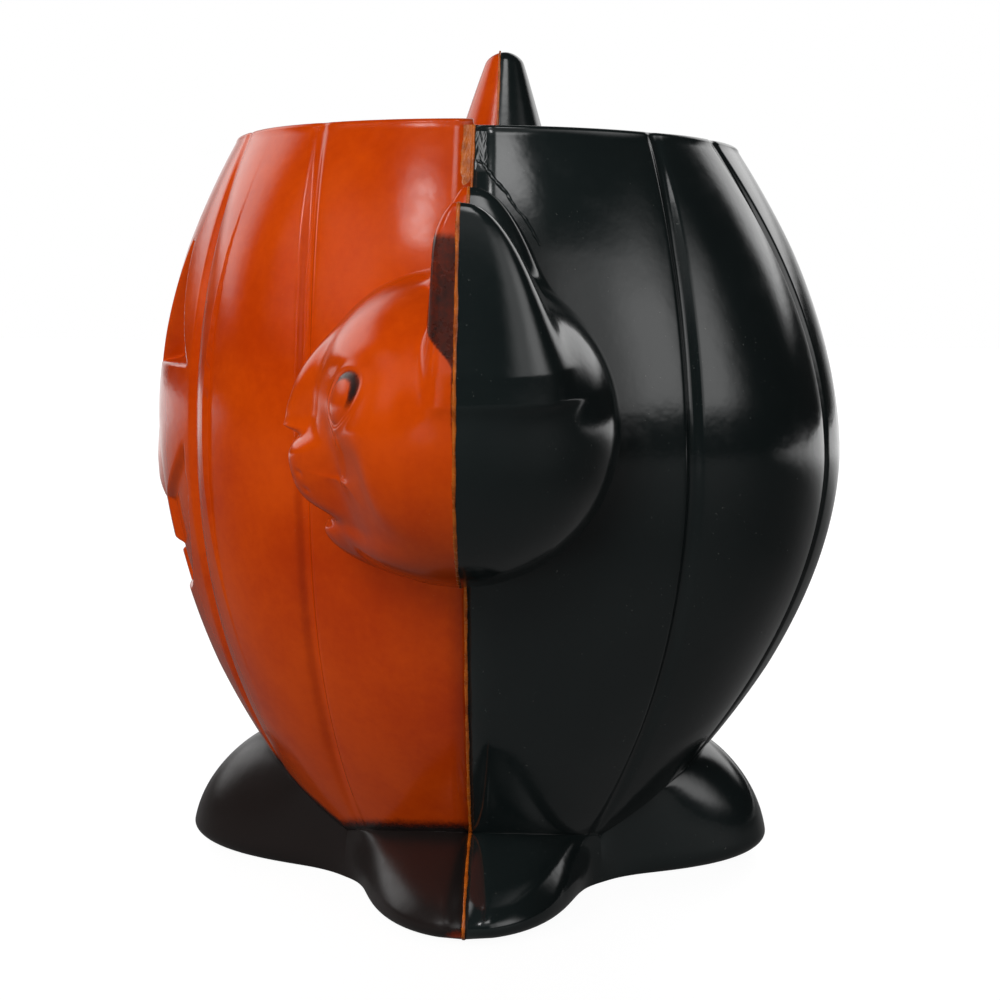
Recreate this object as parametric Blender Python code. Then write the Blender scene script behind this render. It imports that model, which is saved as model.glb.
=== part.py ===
"""A hard plastic candy container of the 1950s kind: a pumpkin cup on four leaves.

A cat's head stands out at one side and a witch's head at the other. The whole
thing is two polystyrene mouldings, the front one orange and the rear one black,
cemented together on the flat seam plane that runs through both heads.

The face looks along -Y, the cat is at +X and the witch at -X. The seam plane is
upright and the leaves stand on z = 0. Lengths are in metres and angles in degrees.
"""

import math

import bmesh
import bpy
import numpy as np

# The pumpkin cup: heights from the table, radii from the upright axis
RIM_HEIGHT = 0.0950
RIM_RADIUS = 0.0325
FRONT_BELLY_RADIUS = 0.0415
FRONT_BELLY_HEIGHT = 0.0592
REAR_BELLY_RADIUS = 0.0469
REAR_BELLY_HEIGHT = 0.0542
WAIST_RADIUS = 0.0229
WAIST_HEIGHT = 0.0060
FRONT_SHOULDER_POWER = 2.07
FRONT_BASE_POWER = 2.15
REAR_SHOULDER_POWER = 1.82
REAR_BASE_POWER = 1.84
WALL = 0.0020
FLOOR_TOP = 0.0168
FLOOR_THICKNESS = 0.0018
CAVITY_FILLET = 0.0030
RIM_EDGE = 0.0004
REAR_RIM_STEP = 0.0008

# The eight ribs: a groove's angle from the side, at the rim, belly and waist
REAR_SIDE_GROOVE = (39.5, 34.4, 40.5)
REAR_CENTRE_GROOVE = (60.0, 70.0, 68.0)
FRONT_SIDE_GROOVE = (34.5, 26.3, 36.0)
FRONT_CENTRE_GROOVE = (63.5, 55.7, 67.0)
GROOVE_DEPTH = 0.0008
GROOVE_HALF_WIDTH = 0.0011
RIB_CROWN = 0.0007
FACE_SWELL = 0.0010
FACE_SWELL_SPAN = 0.0170

# The four leaves that the cup stands on
LEAF_TIP_RADIUS = 0.0393
SIDE_LEAF_TIP_RADIUS = 0.0417
LEAF_NOTCH_RADIUS = 0.0234
LEAF_ROOT_HEIGHT = 0.0150
SIDE_LEAF_ROOT_HEIGHT = 0.0088
LEAF_POINT_POWER = 2.3
LEAF_TOE_LIFT = 0.0028
LEAF_TOE_TUCK = 0.0050
LEAF_WALL = 0.0016
FOOT_WIDTH = 0.0014

# The pumpkin's face, cut into or raised from the front of the cup
RECESS_DEPTH = 0.0018
EYE_INNER = 0.0050
EYE_OUTER = 0.0215
EYE_APEX = 0.0120
EYE_BASE = 0.0655
EYE_TOP = 0.0815
NOSE_TOP = 0.0655
NOSE_BASE = 0.0478
NOSE_HALF_WIDTH = 0.0085
NOSE_PROUD = 0.0016
MOUTH_DEPTH = 0.0010
MOUTH_HALF_WIDTH = 0.0213
MOUTH_TOP = 0.0455
MOUTH_TOP_RISE = 0.0110
MOUTH_FOOT = 0.0358
MOUTH_FOOT_RISE = 0.0142
TOOTH_HALF_WIDTH = 0.0026
TOOTH_LENGTH = 0.0042
UPPER_TOOTH = 0.0082

# The two heads, each on its own centre and leaning outwards
HEAD_OFFSET = 0.0505
HEAD_HEIGHT = 0.0605
HEAD_LEAN = 8.0
HEAD_WALL = 0.0020
FACE_FULLNESS = 0.85
CAT_HALF_WIDTH = 0.0180
CAT_HALF_HEIGHT = 0.0170
CAT_FRONT = 0.0155
CAT_REAR = 0.0168
MUZZLE_HEIGHT = -0.0044
EAR_SPREAD = 0.0102
EAR_BASE = 0.0055
EAR_ROOT_SHARE = 0.75
EAR_TIP = 0.0247
EAR_HALF_WIDTH = 0.0078
EAR_FRONT = 0.0023
EAR_REAR = 0.0112
WITCH_HALF_WIDTH = 0.0138
WITCH_HALF_HEIGHT = 0.0172
WITCH_FRONT = 0.0140
WITCH_REAR = 0.0172
BRIM_RADIUS = 0.0190
BRIM_HEIGHT = 0.0115
BRIM_THICKNESS = 0.0024
HAT_BASE_RADIUS = 0.0152
HAT_TIP = 0.0552
HAT_TIP_RADIUS = 0.0025
HAT_TIP_ROUND = 0.0020
HAT_TAPER_POWER = 0.93
HAT_SLUMP = 0.0008

# The seam between the two mouldings, and where the cup's axis stands in the frame
SEAM_GAP = 0.0003
AXIS_X = 0.0012
AXIS_Y = -0.0017
MARGIN = 0.0020

ORANGE = (0.42, 0.045, 0.002, 1.0)
BLACK = (0.006, 0.008, 0.008, 1.0)


def ring_solid(name, rings):
    """A closed mesh through rings of points, each end closed by a fan to its middle."""
    count, around = rings.shape[:2]
    points = rings.reshape(-1, 3)
    ends = np.array([rings[0].mean(axis=0), rings[-1].mean(axis=0)])
    first, last = count * around, count * around + 1
    faces = []
    for i in range(count - 1):
        for j in range(around):
            k = (j + 1) % around
            faces.append((i * around + j, (i + 1) * around + j, (i + 1) * around + k, i * around + k))
    for j in range(around):
        k = (j + 1) % around
        faces.append((first, j, k))
        faces.append((last, (count - 1) * around + k, (count - 1) * around + j))
    mesh = bpy.data.meshes.new(name)
    mesh.from_pydata(np.vstack([points, ends]).tolist(), [], faces)
    shape = bmesh.new()
    shape.from_mesh(mesh)
    bmesh.ops.recalc_face_normals(shape, faces=shape.faces)
    shape.to_mesh(mesh)
    shape.free()
    solid = bpy.data.objects.new(name, mesh)
    bpy.context.scene.collection.objects.link(solid)
    return solid


def prism(name, outline, near, far):
    """A closed prism along Y with its outline, a list of (x, z), between two y values."""
    shape = bmesh.new()
    corners = [shape.verts.new((x, near, z)) for x, z in outline]
    face = shape.faces.new(corners)
    moved = bmesh.ops.extrude_face_region(shape, geom=[face])["geom"]
    raised = [v for v in moved if isinstance(v, bmesh.types.BMVert)]
    bmesh.ops.translate(shape, verts=raised, vec=(0.0, far - near, 0.0))
    bmesh.ops.recalc_face_normals(shape, faces=shape.faces)
    mesh = bpy.data.meshes.new(name)
    shape.to_mesh(mesh)
    shape.free()
    solid = bpy.data.objects.new(name, mesh)
    bpy.context.scene.collection.objects.link(solid)
    return solid


def box(name, low, high):
    """A plain box between two corners."""
    outline = [(low[0], low[2]), (high[0], low[2]), (high[0], high[2]), (low[0], high[2])]
    return prism(name, outline, low[1], high[1])


def helper(solid):
    """Marks a solid as a tool for Booleans, which is no piece of the object."""
    solid.hide_render = True
    solid.display_type = "WIRE"
    return solid


def combine(solid, tool, operation):
    """Adds a Boolean of the solid with a helper."""
    step = solid.modifiers.new(operation.lower() + "_" + tool.name, "BOOLEAN")
    step.operation = operation
    step.solver = "EXACT"
    step.object = helper(tool)


def cup_radius(height, angle):
    """The cup's radius without its ribs: a front and a rear outline, blended round the cup.

    Each outline leaves its belly by a power of the share of the way to the rim or the waist.
    """
    height = np.asarray(height, float)
    outlines = (
        (FRONT_BELLY_RADIUS, FRONT_BELLY_HEIGHT, FRONT_SHOULDER_POWER, FRONT_BASE_POWER),
        (REAR_BELLY_RADIUS, REAR_BELLY_HEIGHT, REAR_SHOULDER_POWER, REAR_BASE_POWER),
    )
    radii = []
    for belly, level, shoulder, base in outlines:
        up = np.clip((height - level) / (RIM_HEIGHT - level), 0.0, None)
        down = np.clip((level - height) / (level - WAIST_HEIGHT), 0.0, None)
        radii.append(belly - (belly - RIM_RADIUS) * up**shoulder - (belly - WAIST_RADIUS) * down**base)
    rear_share = (1.0 + np.sin(np.radians(angle))) / 2.0
    return radii[0] * (1.0 - rear_share) + radii[1] * rear_share


def groove_angles(height):
    """The angles of the eight grooves at one height, in order round the cup from the cat's side."""
    level = (FRONT_BELLY_HEIGHT + REAR_BELLY_HEIGHT) / 2.0
    found = []
    for at_rim, at_belly, at_waist in (
        REAR_SIDE_GROOVE,
        REAR_CENTRE_GROOVE,
        FRONT_SIDE_GROOVE,
        FRONT_CENTRE_GROOVE,
    ):
        up = max(height - level, 0.0) / (RIM_HEIGHT - level)
        down = max(level - height, 0.0) / (level - WAIST_HEIGHT)
        found.append(at_belly + (at_rim - at_belly) * up**2 + (at_waist - at_belly) * down**2)
    a, b, c, d = found
    return [a, b, 180.0 - b, 180.0 - a, 180.0 + c, 180.0 + d, 360.0 - d, 360.0 - c]


def rib_columns(height, steps):
    """(angle, groove share, crown share) of each grid column at one height.

    Every rib runs from one groove's lip to the next one's, with a column in each groove's bottom.
    """
    angles = groove_angles(height)
    columns = []
    for i, start in enumerate(angles):
        end = angles[(i + 1) % len(angles)] + (360.0 if i == len(angles) - 1 else 0.0)
        lip = math.degrees(GROOVE_HALF_WIDTH / float(cup_radius(height, start)))
        columns.append((start, 1.0, 0.0))
        for k in range(steps[i] + 1):
            share = k / steps[i]
            crown = 4.0 * share * (1.0 - share)
            columns.append((start + lip + share * (end - start - 2.0 * lip), 0.0, crown))
    return np.array(columns).T


def face_swell(height, angle):
    """How much further the front rib swells, where the face is: a bell over its height, none behind."""
    front = np.sin(np.radians(angle)) < -0.75
    return FACE_SWELL * front * np.exp(-(((height - FRONT_BELLY_HEIGHT) / FACE_SWELL_SPAN) ** 2))


def leaf_lobe(angle):
    """1 at the middle of a leaf and 0 in the notch between two, as a cosine of the angle."""
    away = np.abs((np.asarray(angle) + 45.0) % 90.0 - 45.0) / 45.0
    return np.cos(away * math.pi / 2.0)


def on_side_leaf(angle):
    """Whether an angle is on one of the two leaves under the heads."""
    return np.cos(np.radians(angle)) ** 2 > 0.5


def leaf_root(angle):
    """The height where the leaf leaves the cup: high on the front and rear ones, low on the side ones."""
    middle = np.where(on_side_leaf(angle), SIDE_LEAF_ROOT_HEIGHT, LEAF_ROOT_HEIGHT)
    return WAIST_HEIGHT + (middle - WAIST_HEIGHT) * leaf_lobe(angle)


def leaf_radius(angle, down):
    """The leaf's radius, down being 0 at its root and 1 on the table.

    It swells as a quarter sine to the leaf's plan outline, and its toe curls in again near the table.
    """
    root = leaf_root(angle)
    start = cup_radius(root, angle)
    reach = np.where(on_side_leaf(angle), SIDE_LEAF_TIP_RADIUS, LEAF_TIP_RADIUS)
    tip = LEAF_NOTCH_RADIUS + (reach - LEAF_NOTCH_RADIUS) * leaf_lobe(angle) ** LEAF_POINT_POWER
    swell = np.sin(np.minimum(down, 1.0) ** 0.75 * math.pi / 2.0)
    height = root * (1.0 - down)
    low = np.clip((LEAF_TOE_LIFT - height) / LEAF_TOE_LIFT, 0.0, 1.0)
    tuck = LEAF_TOE_TUCK * (1.0 - np.sqrt(1.0 - low**2)) * leaf_lobe(angle) ** 2
    return start + (tip - start) * swell - tuck


RIB_STEPS = (5, 7, 5, 9, 5, 11, 5, 9)
CUP_ROWS = 17
LEAF_ROWS = (0.0, 0.12, 0.3, 0.5, 0.68, 0.84, 0.94, 1.0)


def polar(radius, angle, height):
    """Points at a radius and an angle round the upright axis."""
    turn = np.radians(angle)
    height = np.broadcast_to(height, np.shape(turn))
    return np.stack([radius * np.cos(turn), radius * np.sin(turn), height], axis=-1)


def make_cup():
    """The outside of the cup with its ribs and leaves, as one closed solid."""
    rings = []
    for share in np.linspace(0.0, 1.0, CUP_ROWS):
        level = RIM_HEIGHT + share * (WAIST_HEIGHT - RIM_HEIGHT)
        angle, groove, crown = rib_columns(level, RIB_STEPS)
        root = leaf_root(angle)
        height = RIM_HEIGHT + share * (root - RIM_HEIGHT)
        fade = min(1.0, 0.3 + 4.0 * share) * min(1.0, 0.25 + 5.0 * (1.0 - share))
        swell = RIB_CROWN + face_swell(height, angle)
        radius = cup_radius(height, angle) + fade * (swell * crown - GROOVE_DEPTH * groove)
        if share == 0.0:
            rings.append(polar(radius - RIM_EDGE, angle, RIM_HEIGHT))
            rings.append(polar(radius, angle, RIM_HEIGHT - RIM_EDGE))
        else:
            rings.append(polar(radius, angle, height))
    angle, groove, crown = rib_columns(WAIST_HEIGHT, RIB_STEPS)
    for down in LEAF_ROWS[1:]:
        rings.append(polar(leaf_radius(angle, down), angle, leaf_root(angle) * (1.0 - down)))
    return ring_solid("cup", np.array(rings))


def make_liner(name, inset, low, high, rows=10, around=48):
    """The cup's shape without ribs, set in by a wall, between two heights."""
    angle = (np.arange(around) + 0.5) * 360.0 / around
    rings = []
    for height in np.linspace(high, low, rows):
        level = min(height, RIM_HEIGHT)
        rings.append(polar(cup_radius(level, angle) - inset, angle, height))
    return ring_solid(name, np.array(rings))


def make_candy_space():
    """The hollow that holds the candy, open at the rim and rounded into the floor."""
    angle = (np.arange(48) + 0.5) * 360.0 / 48
    rings = [polar(cup_radius(RIM_HEIGHT, angle) - WALL, angle, RIM_HEIGHT + MARGIN)]
    for height in np.linspace(RIM_HEIGHT, FLOOR_TOP + CAVITY_FILLET, 10):
        rings.append(polar(cup_radius(height, angle) - WALL, angle, height))
    for turn in (30.0, 60.0, 90.0):
        drop = CAVITY_FILLET * math.sin(math.radians(turn))
        inset = CAVITY_FILLET * (1.0 - math.cos(math.radians(turn)))
        height = FLOOR_TOP + CAVITY_FILLET - drop
        rings.append(polar(cup_radius(height, angle) - WALL - inset, angle, height))
    return ring_solid("candy_space", np.array(rings))


def make_base_recess():
    """The hollow under the floor and in the leaves, open on the table."""
    angle = np.arange(72) * 5.0
    ceiling = FLOOR_TOP - FLOOR_THICKNESS
    foot = leaf_radius(angle, 1.0) - FOOT_WIDTH
    root = leaf_root(angle)
    drop = LEAF_WALL / 2.0
    rings = [polar(np.minimum(cup_radius(ceiling, angle) - WALL, foot), angle, ceiling)]
    for down in LEAF_ROWS:
        height = np.minimum(root * (1.0 - down), ceiling) - drop
        radius = np.minimum(leaf_radius(angle, down) - LEAF_WALL, foot)
        rings.append(polar(radius, angle, np.maximum(height, (1.0 - down) * drop)))
    rings.append(polar(foot, angle, -MARGIN))
    return ring_solid("base_recess", np.array(rings))


def make_recess(name, outline, core):
    """A cutter for a recess of even depth in the curved front, in the shape of an outline."""
    cutter = prism(name, outline, -FRONT_BELLY_RADIUS - MARGIN, -RIM_RADIUS * 0.6)
    combine(cutter, core, "DIFFERENCE")
    return cutter


def make_backing(name, outline, skin, back):
    """What stands behind a recess, so that the wall keeps its thickness there: a larger outline."""
    middle = np.mean(outline, axis=0)
    spread = np.ptp(outline, axis=0)
    grown = [tuple(middle + (point - middle) * (1.0 + 2.0 * WALL / spread)) for point in np.array(outline)]
    backing = prism(name + "_backing", grown, -FRONT_BELLY_RADIUS - MARGIN, -RIM_RADIUS * 0.5)
    combine(backing, skin, "INTERSECT")
    combine(backing, back, "DIFFERENCE")
    return backing


def eye_outline(side):
    """A triangular eye with a level base and a blunt apex."""
    blunt = 0.0008
    return [
        (side * EYE_INNER, EYE_BASE),
        (side * EYE_OUTER, EYE_BASE),
        (side * (EYE_APEX + blunt), EYE_TOP),
        (side * (EYE_APEX - blunt), EYE_TOP),
    ]


def mouth_edge(x, upper):
    """The height of the grin's upper or lower edge at x, which rises by a power to its corner."""
    share = abs(x) / MOUTH_HALF_WIDTH
    if upper:
        return MOUTH_TOP + MOUTH_TOP_RISE * share**2
    return MOUTH_FOOT + MOUTH_FOOT_RISE * share**6


def tooth(middle, upper):
    """A square tooth's four corners, from the edge that it stands on and back to it."""
    length = -TOOTH_LENGTH if upper else TOOTH_LENGTH
    root = mouth_edge(middle, upper)
    half = -TOOTH_HALF_WIDTH if upper else TOOTH_HALF_WIDTH
    return [
        (middle - half, mouth_edge(middle - half, upper)),
        (middle - half, root + length),
        (middle + half, root + length),
        (middle + half, mouth_edge(middle + half, upper)),
    ]


def mouth_outline():
    """The grin: two upper teeth hang into it and one lower tooth stands in it."""
    points = []
    for upper, teeth in ((False, (0.0,)), (True, (UPPER_TOOTH, -UPPER_TOOTH))):
        way = -1.0 if upper else 1.0
        edge = np.linspace(-1.0, 1.0, 16) * MOUTH_HALF_WIDTH
        clear = [x for x in edge if all(abs(x - t) > TOOTH_HALF_WIDTH * 1.15 for t in teeth)]
        row = [(x, [(x, mouth_edge(x, upper))]) for x in clear]
        row += [(t, tooth(t, upper)) for t in teeth]
        for _, corners in sorted(row, key=lambda item: way * item[0]):
            points += corners
    return points


def make_nose():
    """The raised nose: a faceted wedge, proudest low down and flush at its top corner."""
    def surface(height, proud):
        return -(float(cup_radius(height, 270.0) + face_swell(height, 270.0)) + RIB_CROWN + proud)

    crest_low = NOSE_BASE + 0.1 * (NOSE_TOP - NOSE_BASE)
    side_y = surface(NOSE_BASE, 0.0) + NOSE_HALF_WIDTH**2 / (2.0 * FRONT_BELLY_RADIUS) + RECESS_DEPTH
    top_y = surface(NOSE_TOP, 0.0) + RIB_CROWN
    inside = -RIM_RADIUS
    points = [
        (0.0, top_y, NOSE_TOP),
        (-NOSE_HALF_WIDTH, side_y, NOSE_BASE),
        (NOSE_HALF_WIDTH, side_y, NOSE_BASE),
        (-NOSE_HALF_WIDTH * 0.35, surface(crest_low, NOSE_PROUD), crest_low),
        (NOSE_HALF_WIDTH * 0.35, surface(crest_low, NOSE_PROUD), crest_low),
        (0.0, surface((NOSE_TOP + NOSE_BASE) / 2.0, NOSE_PROUD * 0.7), (NOSE_TOP + NOSE_BASE) / 2.0),
        (0.0, inside, NOSE_TOP),
        (-NOSE_HALF_WIDTH, inside, NOSE_BASE),
        (NOSE_HALF_WIDTH, inside, NOSE_BASE),
    ]
    shape = bmesh.new()
    for point in points:
        shape.verts.new(point)
    bmesh.ops.convex_hull(shape, input=shape.verts)
    mesh = bpy.data.meshes.new("nose")
    shape.to_mesh(mesh)
    shape.free()
    solid = bpy.data.objects.new("nose", mesh)
    bpy.context.scene.collection.objects.link(solid)
    return solid


def bump(across, up, at_across, at_up, wide, tall):
    """A smooth round bump, 1 at its middle: a Gaussian with a width each way."""
    return np.exp(-(((across - at_across) / wide) ** 2) - ((up - at_up) / tall) ** 2)


def plateau(across, up, at_across, at_up, wide, tall):
    """A flat-topped bump with steep sides, 1 at its middle: the fourth powers of a bump's squares."""
    return np.exp(-(((across - at_across) / wide) ** 4) - ((up - at_up) / tall) ** 4)


def smooth_step(value):
    """0 below 0, 1 above 1, and a smooth step between."""
    value = np.clip(value, 0.0, 1.0)
    return value * value * (3.0 - 2.0 * value)


def cat_relief(across, up):
    """How far the cat's nose, muzzle, chin, cheeks and eyes stand forward of its round head.

    The bridge of the nose, the muzzle and the chin are steep-sided blocks with notches between them.
    """
    side = np.abs(across)
    relief = 0.0004 * bump(side, up, 0.0, 0.0085, 0.0090, 0.0060)
    bridge = smooth_step((0.0125 - up) / 0.0100) * smooth_step((up + 0.0008) / 0.0012)
    relief += 0.0029 * bridge * np.exp(-((side / 0.0031) ** 4))
    relief += 0.0004 * bump(side, up, 0.0, 0.0018, 0.0024, 0.0012)
    relief += 0.0030 * plateau(side, up, 0.0, MUZZLE_HEIGHT, 0.0054, 0.0045)
    relief += 0.0004 * bump(side, up, 0.0036, -0.0034, 0.0028, 0.0030)
    relief -= 0.0016 * bump(side, up, 0.0, -0.0002, 0.0060, 0.0010)
    relief -= 0.0022 * plateau(side, up, 0.0108, -0.0050, 0.0042, 0.0062)
    relief -= 0.0010 * bump(side, up, 0.0, -0.0092, 0.0070, 0.0010)
    relief += 0.0025 * plateau(side, up, 0.0, -0.0132, 0.0045, 0.0036)
    relief -= 0.0022 * bump(side, up, 0.0, -0.0168, 0.0200, 0.0022)
    slant = up - 0.0050 - 0.30 * (side - 0.0112)
    relief -= 0.0010 * np.exp(-(((side - 0.0105) / 0.0046) ** 4) - (slant / 0.0038) ** 4)
    relief += 0.0010 * np.exp(-(((side - 0.0112) / 0.0028) ** 2) - (slant / 0.0022) ** 2)
    return relief


def witch_relief(across, up):
    """How far the witch's hooked nose, chin, brows and cheeks stand forward."""
    side = np.abs(across)
    droop = np.clip((0.0040 - up) / 0.0080, 0.0, 1.0)
    relief = (0.0022 + 0.0042 * droop) * bump(side, up, 0.0, -0.0010, 0.0026, 0.0052)
    relief += 0.0014 * bump(side, up, 0.0046, 0.0066, 0.0042, 0.0014)
    relief -= 0.0016 * bump(side, up, 0.0050, 0.0030, 0.0032, 0.0022)
    relief += 0.0009 * bump(side, up, 0.0050, 0.0028, 0.0017, 0.0013)
    relief += 0.0014 * bump(side, up, 0.0070, -0.0026, 0.0032, 0.0032)
    relief -= 0.0014 * bump(side, up, 0.0, -0.0082, 0.0050, 0.0010)
    relief += 0.0044 * bump(side, up, 0.0, -0.0132, 0.0036, 0.0034)
    return relief


def lean(points, side):
    """Turns points of a head outwards about its centre and sets them at its place on the cup."""
    turn = math.radians(HEAD_LEAN) * side
    x, y, z = points[..., 0] * side, points[..., 1], points[..., 2]
    moved = [
        side * HEAD_OFFSET + x * math.cos(turn) + z * math.sin(turn),
        y,
        HEAD_HEIGHT - x * math.sin(turn) + z * math.cos(turn),
    ]
    return np.stack(moved, axis=-1)


def head_rings(half_width, half_height, front, rear, relief, rows, around, pole=0.0):
    """Rings about the front-to-rear axis, from the face to the back.

    The back is an ellipsoid. The face is a fuller one, by a higher power, with its relief, and its
    rings are centred on a pole at a height above the head's middle.
    """
    turn = np.arange(around) * 2.0 * math.pi / around
    power = 2.0 / FACE_FULLNESS
    rings = []
    front_rows, rear_rows = rows
    for step in np.linspace(0.0, 0.5, front_rows + 1)[1:]:
        share = math.sin(step * math.pi) ** FACE_FULLNESS
        across = half_width * share * np.cos(turn)
        up = half_height * share * np.sin(turn) + pole * (1.0 - share)
        reach = np.hypot(across / half_width, up / half_height)
        ahead = np.clip(1.0 - reach**power, 0.0, 1.0) ** (1.0 / power)
        y = -front * ahead
        if relief:
            y -= relief(across, up) * ahead**0.4
        rings.append(np.stack([across, y, up], axis=-1))
    for step in np.linspace(0.5, 1.0, rear_rows + 2)[1:-1]:
        across = half_width * math.sin(step * math.pi) * np.cos(turn)
        up = half_height * math.sin(step * math.pi) * np.sin(turn)
        y = np.full(around, -rear * math.cos(step * math.pi))
        rings.append(np.stack([across, y, up], axis=-1))
    return np.array(rings)


def make_ear(side, ear):
    """A pricked ear: flat in front, rounded behind, shrinking from its root to a blunt tip."""
    around = 18
    turn = np.arange(around) * 2.0 * math.pi / around
    rings = []
    for share in (0.0, 0.22, 0.44, 0.64, 0.80, 0.91, 0.98, 1.0):
        size = (1.0 - share) ** 0.9 + 0.13 * math.sqrt(1.0 - share**2) + 0.02
        size *= min(1.0, EAR_ROOT_SHARE + 2.2 * share)
        front = EAR_FRONT * (1.0 - share**5) + 0.0002
        across = EAR_HALF_WIDTH * size * np.cos(turn)
        rear = EAR_REAR * math.sqrt(1.0 - share) * min(1.0, EAR_ROOT_SHARE + 2.2 * share) + 0.0003
        y = np.where(np.sin(turn) > 0.0, rear, front) * np.sin(turn)
        up = EAR_BASE + share * (EAR_TIP - EAR_BASE)
        outward = ear * (EAR_SPREAD - 0.0016 * (1.0 - share))
        rings.append(np.stack([across + outward, y, np.full(around, up)], axis=-1))
    return ring_solid("ear", lean(np.array(rings), side))


def make_turned(name, profile, side, around=28):
    """A shape turned about a head's upright axis from (radius, height, shift forward) points."""
    turn = (np.arange(around) + 0.5) * 2.0 * math.pi / around
    rings = []
    for radius, up, forward in profile:
        x = radius * np.cos(turn)
        y = radius * np.sin(turn) - forward
        rings.append(np.stack([x, y, np.full(around, up)], axis=-1))
    return ring_solid(name, lean(np.array(rings), side))


def hat_radius(down):
    """The hat's radius at a depth below its tip: a cone by a power, rounded off at the tip."""
    share = (down / (HAT_TIP - BRIM_HEIGHT)) ** HAT_TAPER_POWER
    cone = HAT_TIP_RADIUS + (HAT_BASE_RADIUS - HAT_TIP_RADIUS) * share
    return cone * math.sqrt(1.0 - max(0.0, 1.0 - down / HAT_TIP_ROUND) ** 2)


def hat_profile(inset):
    """The hat's crown from its round tip to its foot inside the brim, set in by a wall."""
    length = HAT_TIP - BRIM_HEIGHT
    top = inset * 5.0
    points = []
    for down in (0.0001, 0.0005, 0.0012, 0.0020, 0.0070, 0.0170, 0.0300):
        slump = HAT_SLUMP * (1.0 - down / length)
        points.append((hat_radius(top + down) - inset * 1.2, HAT_TIP - top - down, -slump))
    points.append((HAT_BASE_RADIUS - inset * 1.3, BRIM_HEIGHT - inset * 1.5, 0.0))
    return points


def make_brim():
    """The hat's brim, a round plate with a rounded edge that droops a little."""
    half = BRIM_THICKNESS / 2.0
    profile = [
        (BRIM_RADIUS * 0.55, BRIM_HEIGHT + half * 1.4, 0.0),
        (BRIM_RADIUS * 0.9, BRIM_HEIGHT + half * 0.8, 0.0),
        (BRIM_RADIUS - half * 0.3, BRIM_HEIGHT + half * 0.3, 0.0),
        (BRIM_RADIUS, BRIM_HEIGHT - half * 0.4, 0.0),
        (BRIM_RADIUS - half * 0.3, BRIM_HEIGHT - half, 0.0),
        (BRIM_RADIUS * 0.55, BRIM_HEIGHT - half, 0.0),
    ]
    return make_turned("brim", profile, -1, around=36)


def make_hair():
    """The witch's hair: a bob behind and beside her face, scalloped into locks."""
    around = 40
    turn = (np.arange(around) + 0.5) * 2.0 * math.pi / around
    rings = []
    for up in (0.0120, 0.0070, 0.0010, -0.0050, -0.0110, -0.0160):
        share = (0.0120 - up) / 0.0280
        radius = 0.0150 + 0.0030 * math.sin(share * math.pi * 0.8)
        locks = 1.0 + 0.035 * share * np.cos(10.0 * turn)
        depth = np.where(np.sin(turn) > 0.0, 1.0, 0.42)
        x = radius * locks * np.cos(turn)
        y = radius * locks * depth * np.sin(turn)
        rings.append(np.stack([x, y, np.full(around, up)], axis=-1))
    return ring_solid("hair", lean(np.array(rings), -1))


def make_cat(whole):
    """Joins the cat's head and ears to the cup."""
    size = (CAT_HALF_WIDTH, CAT_HALF_HEIGHT, CAT_FRONT, CAT_REAR)
    rings = head_rings(*size, cat_relief, (20, 8), 46, MUZZLE_HEIGHT)
    combine(whole, ring_solid("cat_head", lean(rings, 1)), "UNION")
    combine(whole, make_ear(1, -1), "UNION")
    combine(whole, make_ear(1, 1), "UNION")


def make_witch(whole):
    """Joins the witch's head, hair and hat to the cup."""
    size = (WITCH_HALF_WIDTH, WITCH_HALF_HEIGHT, WITCH_FRONT, WITCH_REAR)
    rings = head_rings(*size, witch_relief, (15, 7), 36)
    combine(whole, ring_solid("witch_head", lean(rings, -1)), "UNION")
    combine(whole, make_hair(), "UNION")
    combine(whole, make_brim(), "UNION")
    combine(whole, make_turned("hat", hat_profile(0.0), -1), "UNION")


def hollow_heads(whole):
    """Hollows both heads, leaving the cup's own wall between each head and the candy."""
    wall = make_liner("cup_outside", 0.0, HEAD_HEIGHT - CAT_HALF_HEIGHT - 0.01, RIM_HEIGHT - MARGIN, 7)
    for name, side, size in (
        ("cat_hollow", 1, (CAT_HALF_WIDTH, CAT_HALF_HEIGHT, CAT_FRONT, CAT_REAR)),
        ("witch_hollow", -1, (WITCH_HALF_WIDTH, WITCH_HALF_HEIGHT, WITCH_FRONT, WITCH_REAR)),
    ):
        rings = head_rings(*(value - HEAD_WALL for value in size), None, (6, 6), 20)
        hollow = ring_solid(name, lean(rings, side))
        if side < 0:
            combine(hollow, make_turned("hat_hollow", hat_profile(HEAD_WALL), -1, 20), "UNION")
        combine(hollow, wall, "DIFFERENCE")
        combine(whole, hollow, "DIFFERENCE")


def carve_face(whole):
    """Cuts the eyes and the grin into the cup with an even wall behind them, and raises the nose."""
    core = make_liner("recess_core", RECESS_DEPTH - RIB_CROWN * 0.5, 0.02, RIM_HEIGHT - MARGIN, 16, 72)
    skin = make_liner("wall_middle", WALL * 0.5, 0.018, RIM_HEIGHT - MARGIN * 0.6, 13, 60)
    back = make_liner("backing_core", RECESS_DEPTH + WALL * 0.75, 0.017, RIM_HEIGHT - MARGIN * 0.8, 14, 52)
    mouth_core = make_liner("mouth_core", MOUTH_DEPTH - RIB_CROWN * 0.5, 0.02, RIM_HEIGHT - MARGIN, 15, 68)
    for name, outline, bottom in (
        ("left_eye", eye_outline(-1), core),
        ("right_eye", eye_outline(1), core),
        ("mouth", mouth_outline(), mouth_core),
    ):
        combine(whole, make_backing(name, outline, skin, back), "UNION")
        combine(whole, make_recess(name, outline, bottom), "DIFFERENCE")
    combine(whole, make_nose(), "UNION")


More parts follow.
